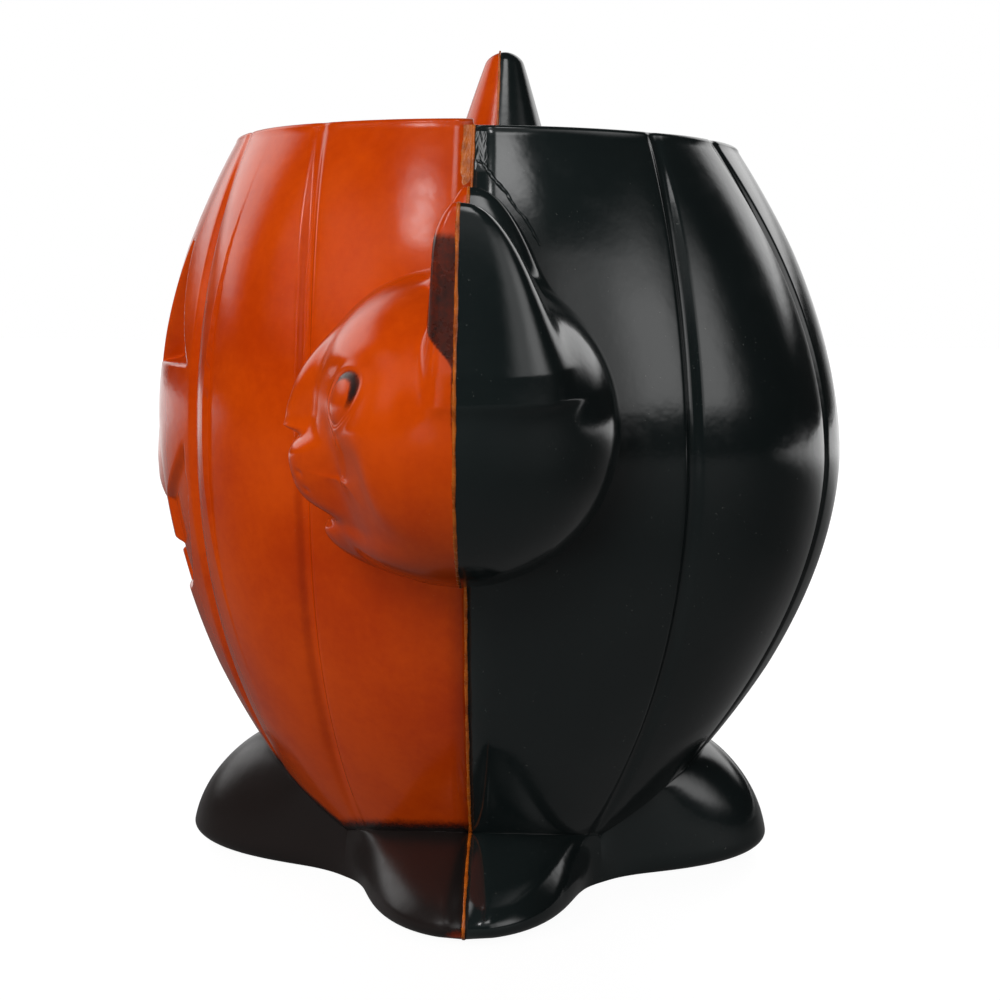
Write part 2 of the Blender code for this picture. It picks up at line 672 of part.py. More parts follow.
def plastic(name, colour):
    """Glossy injection-moulded polystyrene in one colour."""
    material = bpy.data.materials.new(name)
    material.use_nodes = True
    shader = material.node_tree.nodes["Principled BSDF"]
    shader.inputs["Base Color"].default_value = colour
    shader.inputs["Roughness"].default_value = 0.18
    shader.inputs["Metallic"].default_value = 0.0
    return material


def make_half(name, whole, near, far, colour):
    """One moulding: the part of the whole between two y planes."""
    reach = HEAD_OFFSET + CAT_HALF_WIDTH + 0.02
    half = box(name, (-reach, near, -MARGIN * 2.0), (reach, far, HEAD_HEIGHT + HAT_TIP + 0.02))
    combine(half, whole, "INTERSECT")
    half.data.materials.append(plastic(name + "_plastic", colour))
    return half


def main():
    for thing in list(bpy.data.objects):
        bpy.data.objects.remove(thing)
    whole = make_cup()
    make_cat(whole)
    make_witch(whole)
    combine(whole, make_candy_space(), "DIFFERENCE")
    carve_face(whole)
    combine(whole, make_base_recess(), "DIFFERENCE")
    hollow_heads(whole)
    reach = REAR_BELLY_RADIUS + 0.02
    make_half("front_half", whole, -reach, -SEAM_GAP / 2.0, ORANGE)
    rear = make_half("rear_half", whole, SEAM_GAP / 2.0, reach, BLACK)
    ring = RIM_RADIUS + MARGIN
    trim = box("rear_rim_trim", (-ring, 0.0, RIM_HEIGHT - REAR_RIM_STEP), (ring, ring, RIM_HEIGHT + MARGIN))
    combine(rear, trim, "DIFFERENCE")
    for thing in bpy.data.objects:
        thing.location = (AXIS_X, AXIS_Y, 0.0)


main()
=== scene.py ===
"""The looks of a hard plastic candy container: a pumpkin cup with a cat's and a witch's head.

The sections follow the object as it is put together: the two moulded halves of the cup, its
inside and underside, the cat, the witch, the cement in the seam, then the studio.
"""

import math

import bpy
import numpy as np
from mathutils import Matrix, Vector


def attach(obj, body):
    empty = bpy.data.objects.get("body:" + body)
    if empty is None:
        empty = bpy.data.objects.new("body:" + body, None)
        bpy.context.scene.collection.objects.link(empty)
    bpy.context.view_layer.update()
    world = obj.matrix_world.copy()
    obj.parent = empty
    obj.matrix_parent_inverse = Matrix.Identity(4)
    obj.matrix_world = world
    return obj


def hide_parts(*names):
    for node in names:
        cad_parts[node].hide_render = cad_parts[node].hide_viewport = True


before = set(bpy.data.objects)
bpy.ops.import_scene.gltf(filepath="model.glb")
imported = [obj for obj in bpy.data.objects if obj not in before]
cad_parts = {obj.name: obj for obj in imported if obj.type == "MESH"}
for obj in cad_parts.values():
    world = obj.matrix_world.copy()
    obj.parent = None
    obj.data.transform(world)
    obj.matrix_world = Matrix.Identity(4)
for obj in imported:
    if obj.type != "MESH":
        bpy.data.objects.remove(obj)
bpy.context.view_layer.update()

# The cup's outside: two injection moulded halves of hard polystyrene, orange in front with the
# pumpkin's face and black behind, each moulded in one shot with its ribs, rim and four half leaves.
RIM_HEIGHT = 0.0950
RIM_RADIUS = 0.0325
REAR_RIM_STEP = 0.0008
RIM_ROUND = 0.0006
FRONT_BELLY_RADIUS = 0.0415
FRONT_BELLY_HEIGHT = 0.0592
REAR_BELLY_RADIUS = 0.0469
REAR_BELLY_HEIGHT = 0.0542
WAIST_RADIUS = 0.0229
WAIST_HEIGHT = 0.0060
FRONT_SHOULDER_POWER = 2.07
FRONT_BASE_POWER = 2.15
REAR_SHOULDER_POWER = 1.82
REAR_BASE_POWER = 1.84
WALL = 0.0020
SEAM_GAP = 0.0003
AXIS_X = 0.0012
AXIS_Y = -0.0017
REAR_SIDE_GROOVE = (39.5, 34.4, 40.5)
REAR_CENTRE_GROOVE = (60.0, 70.0, 68.0)
FRONT_SIDE_GROOVE = (34.5, 26.3, 36.0)
FRONT_CENTRE_GROOVE = (63.5, 55.7, 67.0)
GROOVES = (REAR_SIDE_GROOVE, REAR_CENTRE_GROOVE, FRONT_SIDE_GROOVE, FRONT_CENTRE_GROOVE)
GROOVE_DEPTH = 0.0008
GROOVE_HALF_WIDTH = 0.0011
GROOVE_SPREAD = 0.00085
RIB_CROWN = 0.0007
FACE_SWELL = 0.0010
FACE_SWELL_SPAN = 0.0170
LEAF_TIP_RADIUS = 0.0393
SIDE_LEAF_TIP_RADIUS = 0.0417
LEAF_NOTCH_RADIUS = 0.0234
LEAF_ROOT_HEIGHT = 0.0150
SIDE_LEAF_ROOT_HEIGHT = 0.0088
LEAF_POINT_POWER = 2.3
LEAF_TOE_LIFT = 0.0028
LEAF_TOE_TUCK = 0.0050
LEAF_WALL = 0.0016
RIM_ROWS = 6
PAINT_FADE = 0.0030
PAINT_WEAR = 0.0016


def cup_radius(height, angle):
    """The cup's radius without ribs: a front and a rear outline, blended by the angle round the cup.

    Each outline leaves its belly by a power of the share of the way to the rim or the waist.
    """
    outlines = (
        (FRONT_BELLY_RADIUS, FRONT_BELLY_HEIGHT, FRONT_SHOULDER_POWER, FRONT_BASE_POWER),
        (REAR_BELLY_RADIUS, REAR_BELLY_HEIGHT, REAR_SHOULDER_POWER, REAR_BASE_POWER),
    )
    radii = []
    for belly, level, shoulder, base in outlines:
        up = np.clip((height - level) / (RIM_HEIGHT - level), 0.0, None)
        down = np.clip((level - height) / (level - WAIST_HEIGHT), 0.0, None)
        radii.append(belly - (belly - RIM_RADIUS) * up**shoulder - (belly - WAIST_RADIUS) * down**base)
    rear_share = (1.0 + np.sin(np.radians(angle))) / 2.0
    return radii[0] * (1.0 - rear_share) + radii[1] * rear_share


def groove_angles(height):
    """The angles of the grooves in order from the cat's side, bending as a square to rim and waist."""
    level = (FRONT_BELLY_HEIGHT + REAR_BELLY_HEIGHT) / 2.0
    up = np.clip(height - level, 0.0, None) / (RIM_HEIGHT - level)
    down = np.clip(level - height, 0.0, None) / (level - WAIST_HEIGHT)
    a, b, c, d = (
        belly + (rim - belly) * up**2 + (waist - belly) * down**2
        for rim, belly, waist in GROOVES
    )
    return [a, b, 180.0 - b, 180.0 - a, 180.0 + c, 180.0 + d, 360.0 - d, 360.0 - c, 360.0 + a]


def face_swell(height, angle):
    """How much further the front rib swells, where the face is: a bell over its height."""
    front = np.sin(np.radians(angle)) < -0.75
    return FACE_SWELL * front * np.exp(-(((height - FRONT_BELLY_HEIGHT) / FACE_SWELL_SPAN) ** 2))


def leaf_lobe(angle):
    """1 at the middle of a leaf and 0 in the notch between two, as a cosine of the angle."""
    away = np.abs((np.asarray(angle) + 45.0) % 90.0 - 45.0) / 45.0
    return np.cos(away * math.pi / 2.0)


def on_side_leaf(angle):
    """Whether an angle is on one of the two leaves under the heads."""
    return np.cos(np.radians(angle)) ** 2 > 0.5


def leaf_root(angle):
    """The height where the leaf leaves the cup: high on the front and rear ones, low on the side ones."""
    middle = np.where(on_side_leaf(angle), SIDE_LEAF_ROOT_HEIGHT, LEAF_ROOT_HEIGHT)
    return WAIST_HEIGHT + (middle - WAIST_HEIGHT) * leaf_lobe(angle)


def leaf_radius(angle, down):
    """The leaf's radius, down being 0 at its root and 1 on the table: a quarter sine, its toe tucked in."""
    root = leaf_root(angle)
    start = cup_radius(root, angle)
    reach = np.where(on_side_leaf(angle), SIDE_LEAF_TIP_RADIUS, LEAF_TIP_RADIUS)
    tip = LEAF_NOTCH_RADIUS + (reach - LEAF_NOTCH_RADIUS) * leaf_lobe(angle) ** LEAF_POINT_POWER
    swell = np.sin(np.minimum(down, 1.0) ** 0.75 * math.pi / 2.0)
    low = np.clip((LEAF_TOE_LIFT - root * (1.0 - down)) / LEAF_TOE_LIFT, 0.0, 1.0)
    tuck = LEAF_TOE_TUCK * (1.0 - np.sqrt(1.0 - low**2)) * leaf_lobe(angle) ** 2
    return start + (tip - start) * swell - tuck


def polar(radius, angle, height):
    """Points at a radius and an angle round the upright axis of the cup."""
    radius, angle, height = np.broadcast_arrays(radius, np.radians(angle), height)
    return np.stack([radius * np.cos(angle), radius * np.sin(angle), height], axis=-1)


def ease(value):
    """0 below 0, 1 above 1, and a smooth step between."""
    value = np.clip(value, 0.0, 1.0)
    return value * value * (3.0 - 2.0 * value)


def hold_off_seam(points, half):
    """Keeps a half's points on its own side of the seam plane, by half the seam's gap."""
    held = points.copy()
    if half == "front_half":
        held[..., 1] = np.minimum(held[..., 1], -SEAM_GAP / 2.0)
    else:
        held[..., 1] = np.maximum(held[..., 1], SEAM_GAP / 2.0)
    return held


def surface(name, points, start=None, end=None, closed=False, flip=False, paint=0.0):
    """A smooth mesh over a grid of points, with a quad between each four neighbours.

    start and end are points that close the first and the last row by a fan, closed joins the last
    column to the first, and flip turns the faces round. paint is kept as a number for each point.
    """
    rows, columns = points.shape[:2]
    index = np.arange(rows * columns).reshape(rows, columns)
    if closed:
        index = np.hstack([index, index[:, :1]])
    quads = np.stack([index[:-1, :-1], index[1:, :-1], index[1:, 1:], index[:-1, 1:]], axis=-1)
    faces = [quads.reshape(-1, 4)]
    places = [points.reshape(-1, 3)]
    shades = [np.broadcast_to(paint, (rows, columns)).ravel()]
    for pole, edge, order in ((start, index[0], 1), (end, index[-1], -1)):
        if pole is not None:
            middle = np.full(len(edge) - 1, sum(len(p) for p in places))
            faces.append(np.stack([middle, edge[:-1], edge[1:]], axis=-1)[:, ::order])
            places.append(np.array([pole], float))
            shades.append(shades[0][edge].mean(keepdims=True))
    if flip:
        faces = [face[:, ::-1] for face in faces]
    places = np.vstack(places) + np.array([AXIS_X, AXIS_Y, 0.0])
    sizes = np.concatenate([np.full(len(face), face.shape[1]) for face in faces])
    corners = np.concatenate([face.ravel() for face in faces])
    mesh = bpy.data.meshes.new(name)
    mesh.vertices.add(len(places))
    mesh.vertices.foreach_set("co", places.ravel())
    mesh.loops.add(len(corners))
    mesh.loops.foreach_set("vertex_index", corners)
    mesh.polygons.add(len(sizes))
    mesh.polygons.foreach_set("loop_start", np.concatenate([[0], np.cumsum(sizes)[:-1]]))
    mesh.polygons.foreach_set("use_smooth", np.ones(len(sizes), bool))
    coat = mesh.attributes.new("paint", "FLOAT", "POINT")
    coat.data.foreach_set("value", np.concatenate(shades))
    mesh.update(calc_edges=True)
    mesh.validate()
    piece = bpy.data.objects.new(name, mesh)
    bpy.context.scene.collection.objects.link(piece)
    return piece


class Shade:
    """A socket of a material's nodes, which Python's own operators carry further as Math nodes."""

    def __init__(self, finish, socket):
        self.finish = finish
        self.socket = socket

    def math(self, operation, *values):
        return self.finish.node("ShaderNodeMath", {"operation": operation}, *values)

    def __add__(self, other):
        return self.math("ADD", self, other)

    def __sub__(self, other):
        return self.math("SUBTRACT", self, other)

    def __rsub__(self, other):
        return self.math("SUBTRACT", other, self)

    def __mul__(self, other):
        return self.math("MULTIPLY", self, other)

    __radd__ = __add__
    __rmul__ = __mul__

    def step(self, low, high):
        """0 below low, 1 above high and a smooth step between."""
        settings = {"interpolation_type": "SMOOTHSTEP"}
        return self.finish.node("ShaderNodeMapRange", settings, self, low, high, 0.0, 1.0)


class Finish:
    """A material with one Principled shader, whose nodes are made by one method."""

    def __init__(self, name, **constants):
        self.material = bpy.data.materials.new(name)
        self.material.use_nodes = True
        self.tree = self.material.node_tree
        self.shader = self.tree.nodes["Principled BSDF"]
        self.output = self.tree.nodes["Material Output"]
        for label, value in constants.items():
            self.shader.inputs[label.replace("_", " ")].default_value = value

    def node(self, kind, settings, *values, output=0, **named):
        """A node with its settings set first, then the values or links of its sockets."""
        made = self.tree.nodes.new(kind)
        for label, value in settings.items():
            if label == "stops":
                ramp = made.color_ramp
                while len(ramp.elements) < len(value):
                    ramp.elements.new(0.5)
                for element, (place, colour) in zip(ramp.elements, value):
                    element.position = place
                    element.color = colour
            else:
                setattr(made, label, value)
        for socket, value in list(zip(made.inputs, values)):
            self.put(socket, value)
        for label, value in named.items():
            self.put(made.inputs[label], value)
        return Shade(self, made.outputs[output])

    def put(self, socket, value):
        if isinstance(value, Shade):
            self.tree.links.new(value.socket, socket)
        else:
            socket.default_value = value

    def feed(self, label, value):
        self.put(self.shader.inputs[label], value)

    def place(self):
        return self.node("ShaderNodeTexCoord", {}, output="Object")

    def rays(self):
        """Whether a ray is the camera's, a glossy one or a transmitted one, as 0 or 1 each."""
        kinds = ("Is Camera Ray", "Is Glossy Ray", "Is Transmission Ray")
        return [self.node("ShaderNodeLightPath", {}, output=kind) for kind in kinds]

    def noise(self, scale, detail=2.0, roughness=0.5, place=None):
        """Noise from 0 to 1, scale being its cells in each metre."""
        named = {"Vector": place or self.place(), "Scale": scale, "Detail": detail, "Roughness": roughness}
        return self.node("ShaderNodeTexNoise", {}, output="Fac", **named)

    def blend(self, share, first, second):
        """A colour between two colours."""
        mix = self.tree.nodes.new("ShaderNodeMix")
        mix.data_type = "RGBA"
        self.put(mix.inputs[0], share)
        self.put(mix.inputs[6], first)
        self.put(mix.inputs[7], second)
        return Shade(self, mix.outputs[2])

    def bump(self, height, distance, strength=1.0):
        named = {"Height": height, "Distance": distance, "Strength": strength}
        self.feed("Normal", self.node("ShaderNodeBump", {}, output="Normal", **named))


ORANGE_DEEP = (0.340, 0.026, 0.0005, 1.0)
ORANGE_PALE = (0.470, 0.050, 0.0012, 1.0)
ORANGE_DUST = (0.420, 0.150, 0.060, 1.0)
LEAF_PAINT = (0.0100, 0.0075, 0.0070, 1.0)
PAINT_THIN = (0.090, 0.009, 0.0015, 1.0)

orange = Finish("orange_polystyrene", Roughness=0.2, IOR=1.45)
cloud = orange.noise(55.0, 3.0, 0.55)
grain = orange.noise(900.0, 4.0, 0.6)
body = orange.blend((cloud * 0.8 + grain * 0.25).step(0.3, 0.75), ORANGE_DEEP, ORANGE_PALE)
dust = orange.noise(2600.0, 2.0, 0.7).step(0.70, 0.80) * orange.noise(70.0).step(0.45, 0.62)
body = orange.blend(dust * 0.45, body, ORANGE_DUST)
coat = orange.node("ShaderNodeAttribute", {"attribute_name": "paint"}, output="Fac")
feather = coat + (orange.noise(420.0, 4.0, 0.65) - 0.5) * 0.35 + (orange.noise(2400.0, 2.0, 0.6) - 0.5) * 0.25
body = orange.blend(feather.step(0.25, 0.70), body, PAINT_THIN)
body = orange.blend(feather.step(0.55, 0.85), body, LEAF_PAINT)
orange.feed("Base Color", body)
scuff = orange.noise(160.0, 5.0, 0.7).step(0.45, 0.75)
orange.feed("Roughness", 0.15 + scuff * 0.10 + coat * 0.14)
orange.bump(orange.noise(260.0, 3.0, 0.6) * 0.7 + grain * 0.3, 0.00004)

BLACK_DEEP = (0.0040, 0.0062, 0.0064, 1.0)
BLACK_SOFT = (0.0085, 0.0120, 0.0120, 1.0)
BLACK_DUST = (0.110, 0.115, 0.105, 1.0)

black = Finish("black_polystyrene", Roughness=0.16, IOR=1.62)
body = black.blend(black.noise(60.0, 3.0, 0.6), BLACK_DEEP, BLACK_SOFT)
specks = black.noise(3000.0, 1.0, 0.6).step(0.74, 0.80) * black.noise(120.0, 2.0).step(0.42, 0.60)
streak_place = black.node(
    "ShaderNodeMapping", {}, Vector=black.place(), Rotation=(0.3, 0.4, 0.5), Scale=(90.0, 2400.0, 2400.0)
)
streaks = black.noise(1.0, 2.0, 0.5, streak_place).step(0.76, 0.83)
body = black.blend((specks * 0.6 + streaks * 0.25), body, BLACK_DUST)
black.feed("Base Color", body)
scuff = black.noise(140.0, 5.0, 0.7).step(0.45, 0.80)
black.feed("Roughness", 0.13 + scuff * 0.10 + streaks * 0.2)
black.bump(black.noise(230.0, 3.0, 0.55), 0.00004)

FINISHES = {"front_half": orange, "rear_half": black}


def fit(piece, half, finish=None):
    """Gives a piece its half's plastic, or a finish of its own, and sets it on the body."""
    piece.data.materials.append((finish or FINISHES[half]).material)
    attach(piece, "root")
    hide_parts(half)


RECESS_DEPTH = 0.0018
RECESS_SLOPE = 0.0010
EYE_INNER = 0.0050
EYE_OUTER = 0.0215
EYE_APEX = 0.0120
EYE_BASE = 0.0655
EYE_TOP = 0.0815
EYE_BLUNT = 0.0008
NOSE_TOP = 0.0655
NOSE_BASE = 0.0478
NOSE_HALF_WIDTH = 0.0085
NOSE_PROUD = 0.0011
NOSE_CREST_SHARE = 0.35
MOUTH_DEPTH = 0.0010
MOUTH_HALF_WIDTH = 0.0213
MOUTH_TOP = 0.0455
MOUTH_TOP_RISE = 0.0110
MOUTH_FOOT = 0.0358
MOUTH_FOOT_RISE = 0.0142
TOOTH_HALF_WIDTH = 0.0026
TOOTH_LENGTH = 0.0042
UPPER_TOOTH = 0.0082


def mouth_edge(across, rise, power, middle):
    """The height of an edge of the grin and its slope: it rises by a power to the corners."""
    share = np.abs(across) / MOUTH_HALF_WIDTH
    return middle + rise * share**power, power * rise * share ** (power - 1) / MOUTH_HALF_WIDTH


def inside_triangle(across, up):
    """How far inside an eye's outline a point is, in metres: the least distance from its four sides."""
    side = np.abs(across)
    corners = [(EYE_INNER, EYE_BASE), (EYE_OUTER, EYE_BASE), (EYE_APEX + EYE_BLUNT, EYE_TOP),
               (EYE_APEX - EYE_BLUNT, EYE_TOP)]
    depth = np.full(np.shape(across), 1.0)
    for (x0, z0), (x1, z1) in zip(corners, corners[1:] + corners[:1]):
        length = math.hypot(x1 - x0, z1 - z0)
        depth = np.minimum(depth, ((x1 - x0) * (up - z0) - (z1 - z0) * (side - x0)) / length)
    return depth


def inside_grin(across, up):
    """How far inside the grin a point is: between its two edges and outside its three teeth."""
    side = np.abs(across)
    top, top_slope = mouth_edge(side, MOUTH_TOP_RISE, 2, MOUTH_TOP)
    foot, foot_slope = mouth_edge(side, MOUTH_FOOT_RISE, 6, MOUTH_FOOT)
    depth = np.minimum((top - up) / np.hypot(1.0, top_slope), (up - foot) / np.hypot(1.0, foot_slope))
    depth = np.minimum(depth, MOUTH_HALF_WIDTH - side)
    root = mouth_edge(UPPER_TOOTH, MOUTH_TOP_RISE, 2, MOUTH_TOP)[0] - TOOTH_LENGTH
    depth = np.minimum(depth, np.maximum(np.abs(side - UPPER_TOOTH) - TOOTH_HALF_WIDTH, root - up))
    tip = MOUTH_FOOT + TOOTH_LENGTH
    return np.minimum(depth, np.maximum(side - TOOTH_HALF_WIDTH, up - tip))


def nose_height(across, up):
    """How proud the nose stands: the least of three planes, two side facets and a short one below."""
    side = np.abs(across)
    share = (NOSE_TOP - up) / (NOSE_TOP - NOSE_BASE)
    crest = NOSE_PROUD * np.clip(share * 1.4, 0.0, 1.0)
    half = NOSE_HALF_WIDTH * np.clip(share, 0.0, None) + 1e-6
    flank = (half - side) / (half * (1.0 - NOSE_CREST_SHARE * np.clip(share, 0.0, 1.0)))
    below = (up - NOSE_BASE) / (0.12 * (NOSE_TOP - NOSE_BASE))
    return crest * np.clip(np.minimum(flank, below), 0.0, 1.0)


def face_relief(radius, angle, height):
    """The radius with the eyes sunk to an even depth, the grin sunk below its rib and the nose raised."""
    across = radius * np.cos(np.radians(angle))
    share = ease(inside_triangle(across, height) / RECESS_SLOPE)
    radius = radius * (1.0 - share) + (cup_radius(height, angle) - RECESS_DEPTH + RIB_CROWN * 0.5) * share
    radius = radius - MOUTH_DEPTH * ease(inside_grin(across, height) / RECESS_SLOPE)
    return radius + nose_height(across, height)


def rib_fade(share):
    """How much of its ribs the wall has at a share of the way from its rim to its leaf."""
    return np.minimum(1.0, 0.3 + 4.0 * share) * np.minimum(1.0, 0.25 + 5.0 * (1.0 - share))


def wall_panel(rib, first, last, across, rows, leaf_rows, half, relief=None):
    """One rib's outside from the middle of the rim's top to the table, as a grid and its paint.

    A rib swells between its two grooves by a crown, a groove is a rounded channel, and both fade
    towards the rim and the leaf. first and last cut the rib at the seam.
    """
    top = RIM_HEIGHT - (REAR_RIM_STEP if half == "rear_half" else 0.0)
    start_share = (RIM_HEIGHT - top + RIM_ROUND) / (RIM_HEIGHT - WAIST_HEIGHT)
    rows = rows[:, None]
    share = start_share + rows * (1.0 - start_share)
    level = RIM_HEIGHT + share * (WAIST_HEIGHT - RIM_HEIGHT)
    lines = groove_angles(level)
    start, end = lines[rib], lines[rib + 1]
    low = start if first is None else np.full_like(start, first)
    high = end if last is None else np.full_like(end, last)
    angle = low + (high - low) * across[None, :]
    metres = np.radians(1.0) * cup_radius(level, start)
    lip = GROOVE_HALF_WIDTH / metres
    away = np.minimum(angle - start, end - angle) * metres
    groove = np.exp(-np.clip(away / GROOVE_SPREAD, 0.0, 6.0) ** 3)
    part = np.clip((angle - start - lip) / (end - start - 2.0 * lip), 0.0, 1.0)
    crown = 4.0 * part * (1.0 - part)
    fade = rib_fade(share)
    root = leaf_root(angle)
    height = top - RIM_ROUND + rows * (root - top + RIM_ROUND)
    swell = RIB_CROWN + face_swell(height, angle)
    radius = cup_radius(height, angle) + fade * (swell * crown - GROOVE_DEPTH * groove)
    if relief:
        radius = relief(radius, angle, height)
    turn = np.radians([90.0, 70.0, 50.0, 30.0, 15.0])[:, None]
    edge = polar(
        radius[:1] - RIM_ROUND * (1.0 - np.cos(turn)), angle[:1], top - RIM_ROUND + RIM_ROUND * np.sin(turn)
    )
    land = polar(radius[:1] - WALL / 2.0, angle[:1], top)
    down = leaf_rows[:, None]
    leaf = polar(leaf_radius(angle[-1:], down), angle[-1:], root[-1:] * (1.0 - down))
    grid = np.vstack([land, edge, polar(radius, angle, height), leaf])
    above = grid[..., 2] - np.broadcast_to(root[-1:], grid.shape[:2])
    worn = np.exp(-((grid[..., 1] / PAINT_WEAR) ** 2) - (grid[..., 2] / PAINT_WEAR) ** 2)
    return hold_off_seam(grid, half), (1.0 - np.clip(above / PAINT_FADE, 0.0, 1.0)) * (1.0 - 1.3 * worn)


def wall_rows(count, face=False):
    """Row shares down the wall, closer together just above the leaf's crease and across the face."""
    stops = ([0.0, 0.14, 0.78, 0.985], [0.0, 0.09, 0.93, 1.0]) if face else ([0.0, 0.985], [0.0, 1.0])
    return np.concatenate([np.interp(np.linspace(0.0, 1.0, count), stops[1], stops[0]), [0.992, 0.997, 1.0]])


def rib_columns(middle, groove_first=True, groove_last=True):
    """Column shares across a rib, closer together beside its grooves."""
    beside = np.linspace(0.0, 0.12, 19)
    parts = [beside if groove_first else np.array([0.0, 0.12])]
    parts.append(np.linspace(0.12, 0.88, middle)[1:-1])
    parts.append(1.0 - beside[::-1] if groove_last else np.array([0.88, 1.0]))
    return np.concatenate(parts)


def seam_column(grid, at_end):
    """Adds the seam face to a grid's first or last column: across the wall, mirrored in the rim."""
    edge = grid[:, -1:] if at_end else grid[:, :1]
    inner = edge.copy()
    length = np.linalg.norm(edge[..., :2], axis=-1)
    wall = np.where(edge[..., 2] > SIDE_LEAF_ROOT_HEIGHT, WALL, LEAF_WALL * 0.8)
    wanted = length - wall
    wanted[:RIM_ROWS] = 2.0 * length[0] - length[:RIM_ROWS]
    inner[..., 0] *= wanted / length
    return np.hstack([grid, inner]) if at_end else np.hstack([inner, grid])


LEAF_ROWS = np.concatenate([[0.0008, 0.004], np.linspace(0.015, 0.86, 40), np.linspace(0.875, 1.0, 16)])
PANELS = (
    ("rear_cat_rib", 8, 0.0, None, 44, False, True, "rear_half"),
    ("rear_cat_side_rib", 0, None, None, 90, True, True, "rear_half"),
    ("rear_middle_rib", 1, None, None, 110, True, True, "rear_half"),
    ("rear_witch_side_rib", 2, None, None, 90, True, True, "rear_half"),
    ("rear_witch_rib", 3, None, 180.0, 44, True, False, "rear_half"),
    ("front_witch_rib", 3, 180.0, None, 40, False, True, "front_half"),
    ("front_witch_side_rib", 4, None, None, 90, True, True, "front_half"),
    ("front_face_rib", 5, None, None, 280, True, True, "front_half"),
    ("front_cat_side_rib", 6, None, None, 90, True, True, "front_half"),
    ("front_cat_rib", 7, None, 360.0, 40, True, False, "front_half"),
)
seam_edges = {}
for name, rib, first, last, middle, groove_first, groove_last, half in PANELS:
    columns = rib_columns(middle, groove_first, groove_last)
    relief = face_relief if rib == 5 else None
    rows = wall_rows(240, face=True) if relief else wall_rows(130)
    if rib == 8:
        grid, paint = wall_panel(7, 360.0, None, columns, rows, LEAF_ROWS, half)
    else:
        grid, paint = wall_panel(rib, first, last, columns, rows, LEAF_ROWS, half, relief)
    if not groove_first:
        seam_edges[name] = grid[:, 0]
        grid = seam_column(grid, False)
        paint = np.hstack([paint[:, :1], paint])
    if not groove_last:
        seam_edges[name] = grid[:, -1]
        grid = seam_column(grid, True)
        paint = np.hstack([paint, paint[:, -1:]])
    fit(surface(name, grid, paint=paint), half)

# The cup's inside and its underside: the same two mouldings seen from within, a smooth wall that
# rounds into a flat floor, and a hollow under the floor that leaves a thin foot on each leaf.
FLOOR_TOP = 0.0168
FLOOR_THICKNESS = 0.0018
CAVITY_FILLET = 0.0030
FOOT_WIDTH = 0.0014
BOSS_SLOPE = 0.0012


def inside_wall(half, angle):
    """The inside of one half from the middle of the rim's top down the wall and across the floor."""
    top = RIM_HEIGHT - (REAR_RIM_STEP if half == "rear_half" else 0.0)
    height = np.linspace(top - RIM_ROUND, FLOOR_TOP + CAVITY_FILLET, 110)[:, None]
    radius = cup_radius(height, angle) - WALL
    if half == "front_half":
        across = radius * np.cos(np.radians(angle))
        for shape, depth in ((inside_triangle, RECESS_DEPTH), (inside_grin, MOUTH_DEPTH)):
            radius = radius - (depth - WALL / 4.0) * ease((shape(across, height) + WALL) / BOSS_SLOPE)
    turn = np.radians([90.0, 60.0, 30.0])[:, None]
    edge = polar(
        radius[:1] + RIM_ROUND * (1.0 - np.cos(turn)), angle, top - RIM_ROUND + RIM_ROUND * np.sin(turn)
    )
    land = polar(radius[:1] + WALL / 2.0, angle, top)
    bend = np.radians(np.linspace(9.0, 90.0, 10))[:, None]
    corner = polar(
        radius[-1:] - CAVITY_FILLET * (1.0 - np.cos(bend)),
        angle,
        FLOOR_TOP + CAVITY_FILLET - CAVITY_FILLET * np.sin(bend),
    )
    inward = np.linspace(0.95, 0.04, 30)[:, None]
    floor = polar((radius[-1:] - CAVITY_FILLET) * inward, angle, FLOOR_TOP)
    return hold_off_seam(np.vstack([land, edge, polar(radius, angle, height), corner, floor]), half)


def underside(half, angle):
    """The underside of one half from the leaves' foot up into the hollow below the floor."""
    ceiling = FLOOR_TOP - FLOOR_THICKNESS
    outer = leaf_radius(angle, 1.0)
    foot = outer - FOOT_WIDTH
    down = np.linspace(0.97, 0.0, 40)[:, None]
    rise = np.minimum(leaf_root(angle) * (1.0 - down), ceiling) - LEAF_WALL / 2.0
    radius = np.minimum(leaf_radius(angle, down) - LEAF_WALL, foot)
    hollow = polar(radius, angle, np.maximum(rise, (1.0 - down) * LEAF_WALL / 2.0))
    neck = np.minimum(cup_radius(ceiling, angle) - WALL, foot)
    inward = np.linspace(1.0, 0.04, 24)[:, None]
    return hold_off_seam(
        np.vstack([
            polar(outer, angle, 0.0), polar(foot, angle, 0.0), hollow, polar(neck * inward, angle, ceiling)
        ]),
        half,
    )


for half, low, high in (("front_half", 180.0, 360.0), ("rear_half", 0.0, 180.0)):
    angle = np.linspace(low, high, 241)[None, :]
    grid = inside_wall(half, angle)
    middle = (0.0, grid[-1, 0, 1], FLOOR_TOP)
    fit(surface(half.replace("half", "inside"), grid, end=middle, flip=True), half)
    grid = underside(half, angle)
    middle = (0.0, grid[-1, 0, 1], FLOOR_TOP - FLOOR_THICKNESS)
    fit(surface(half.replace("half", "underside"), grid, end=middle), half)

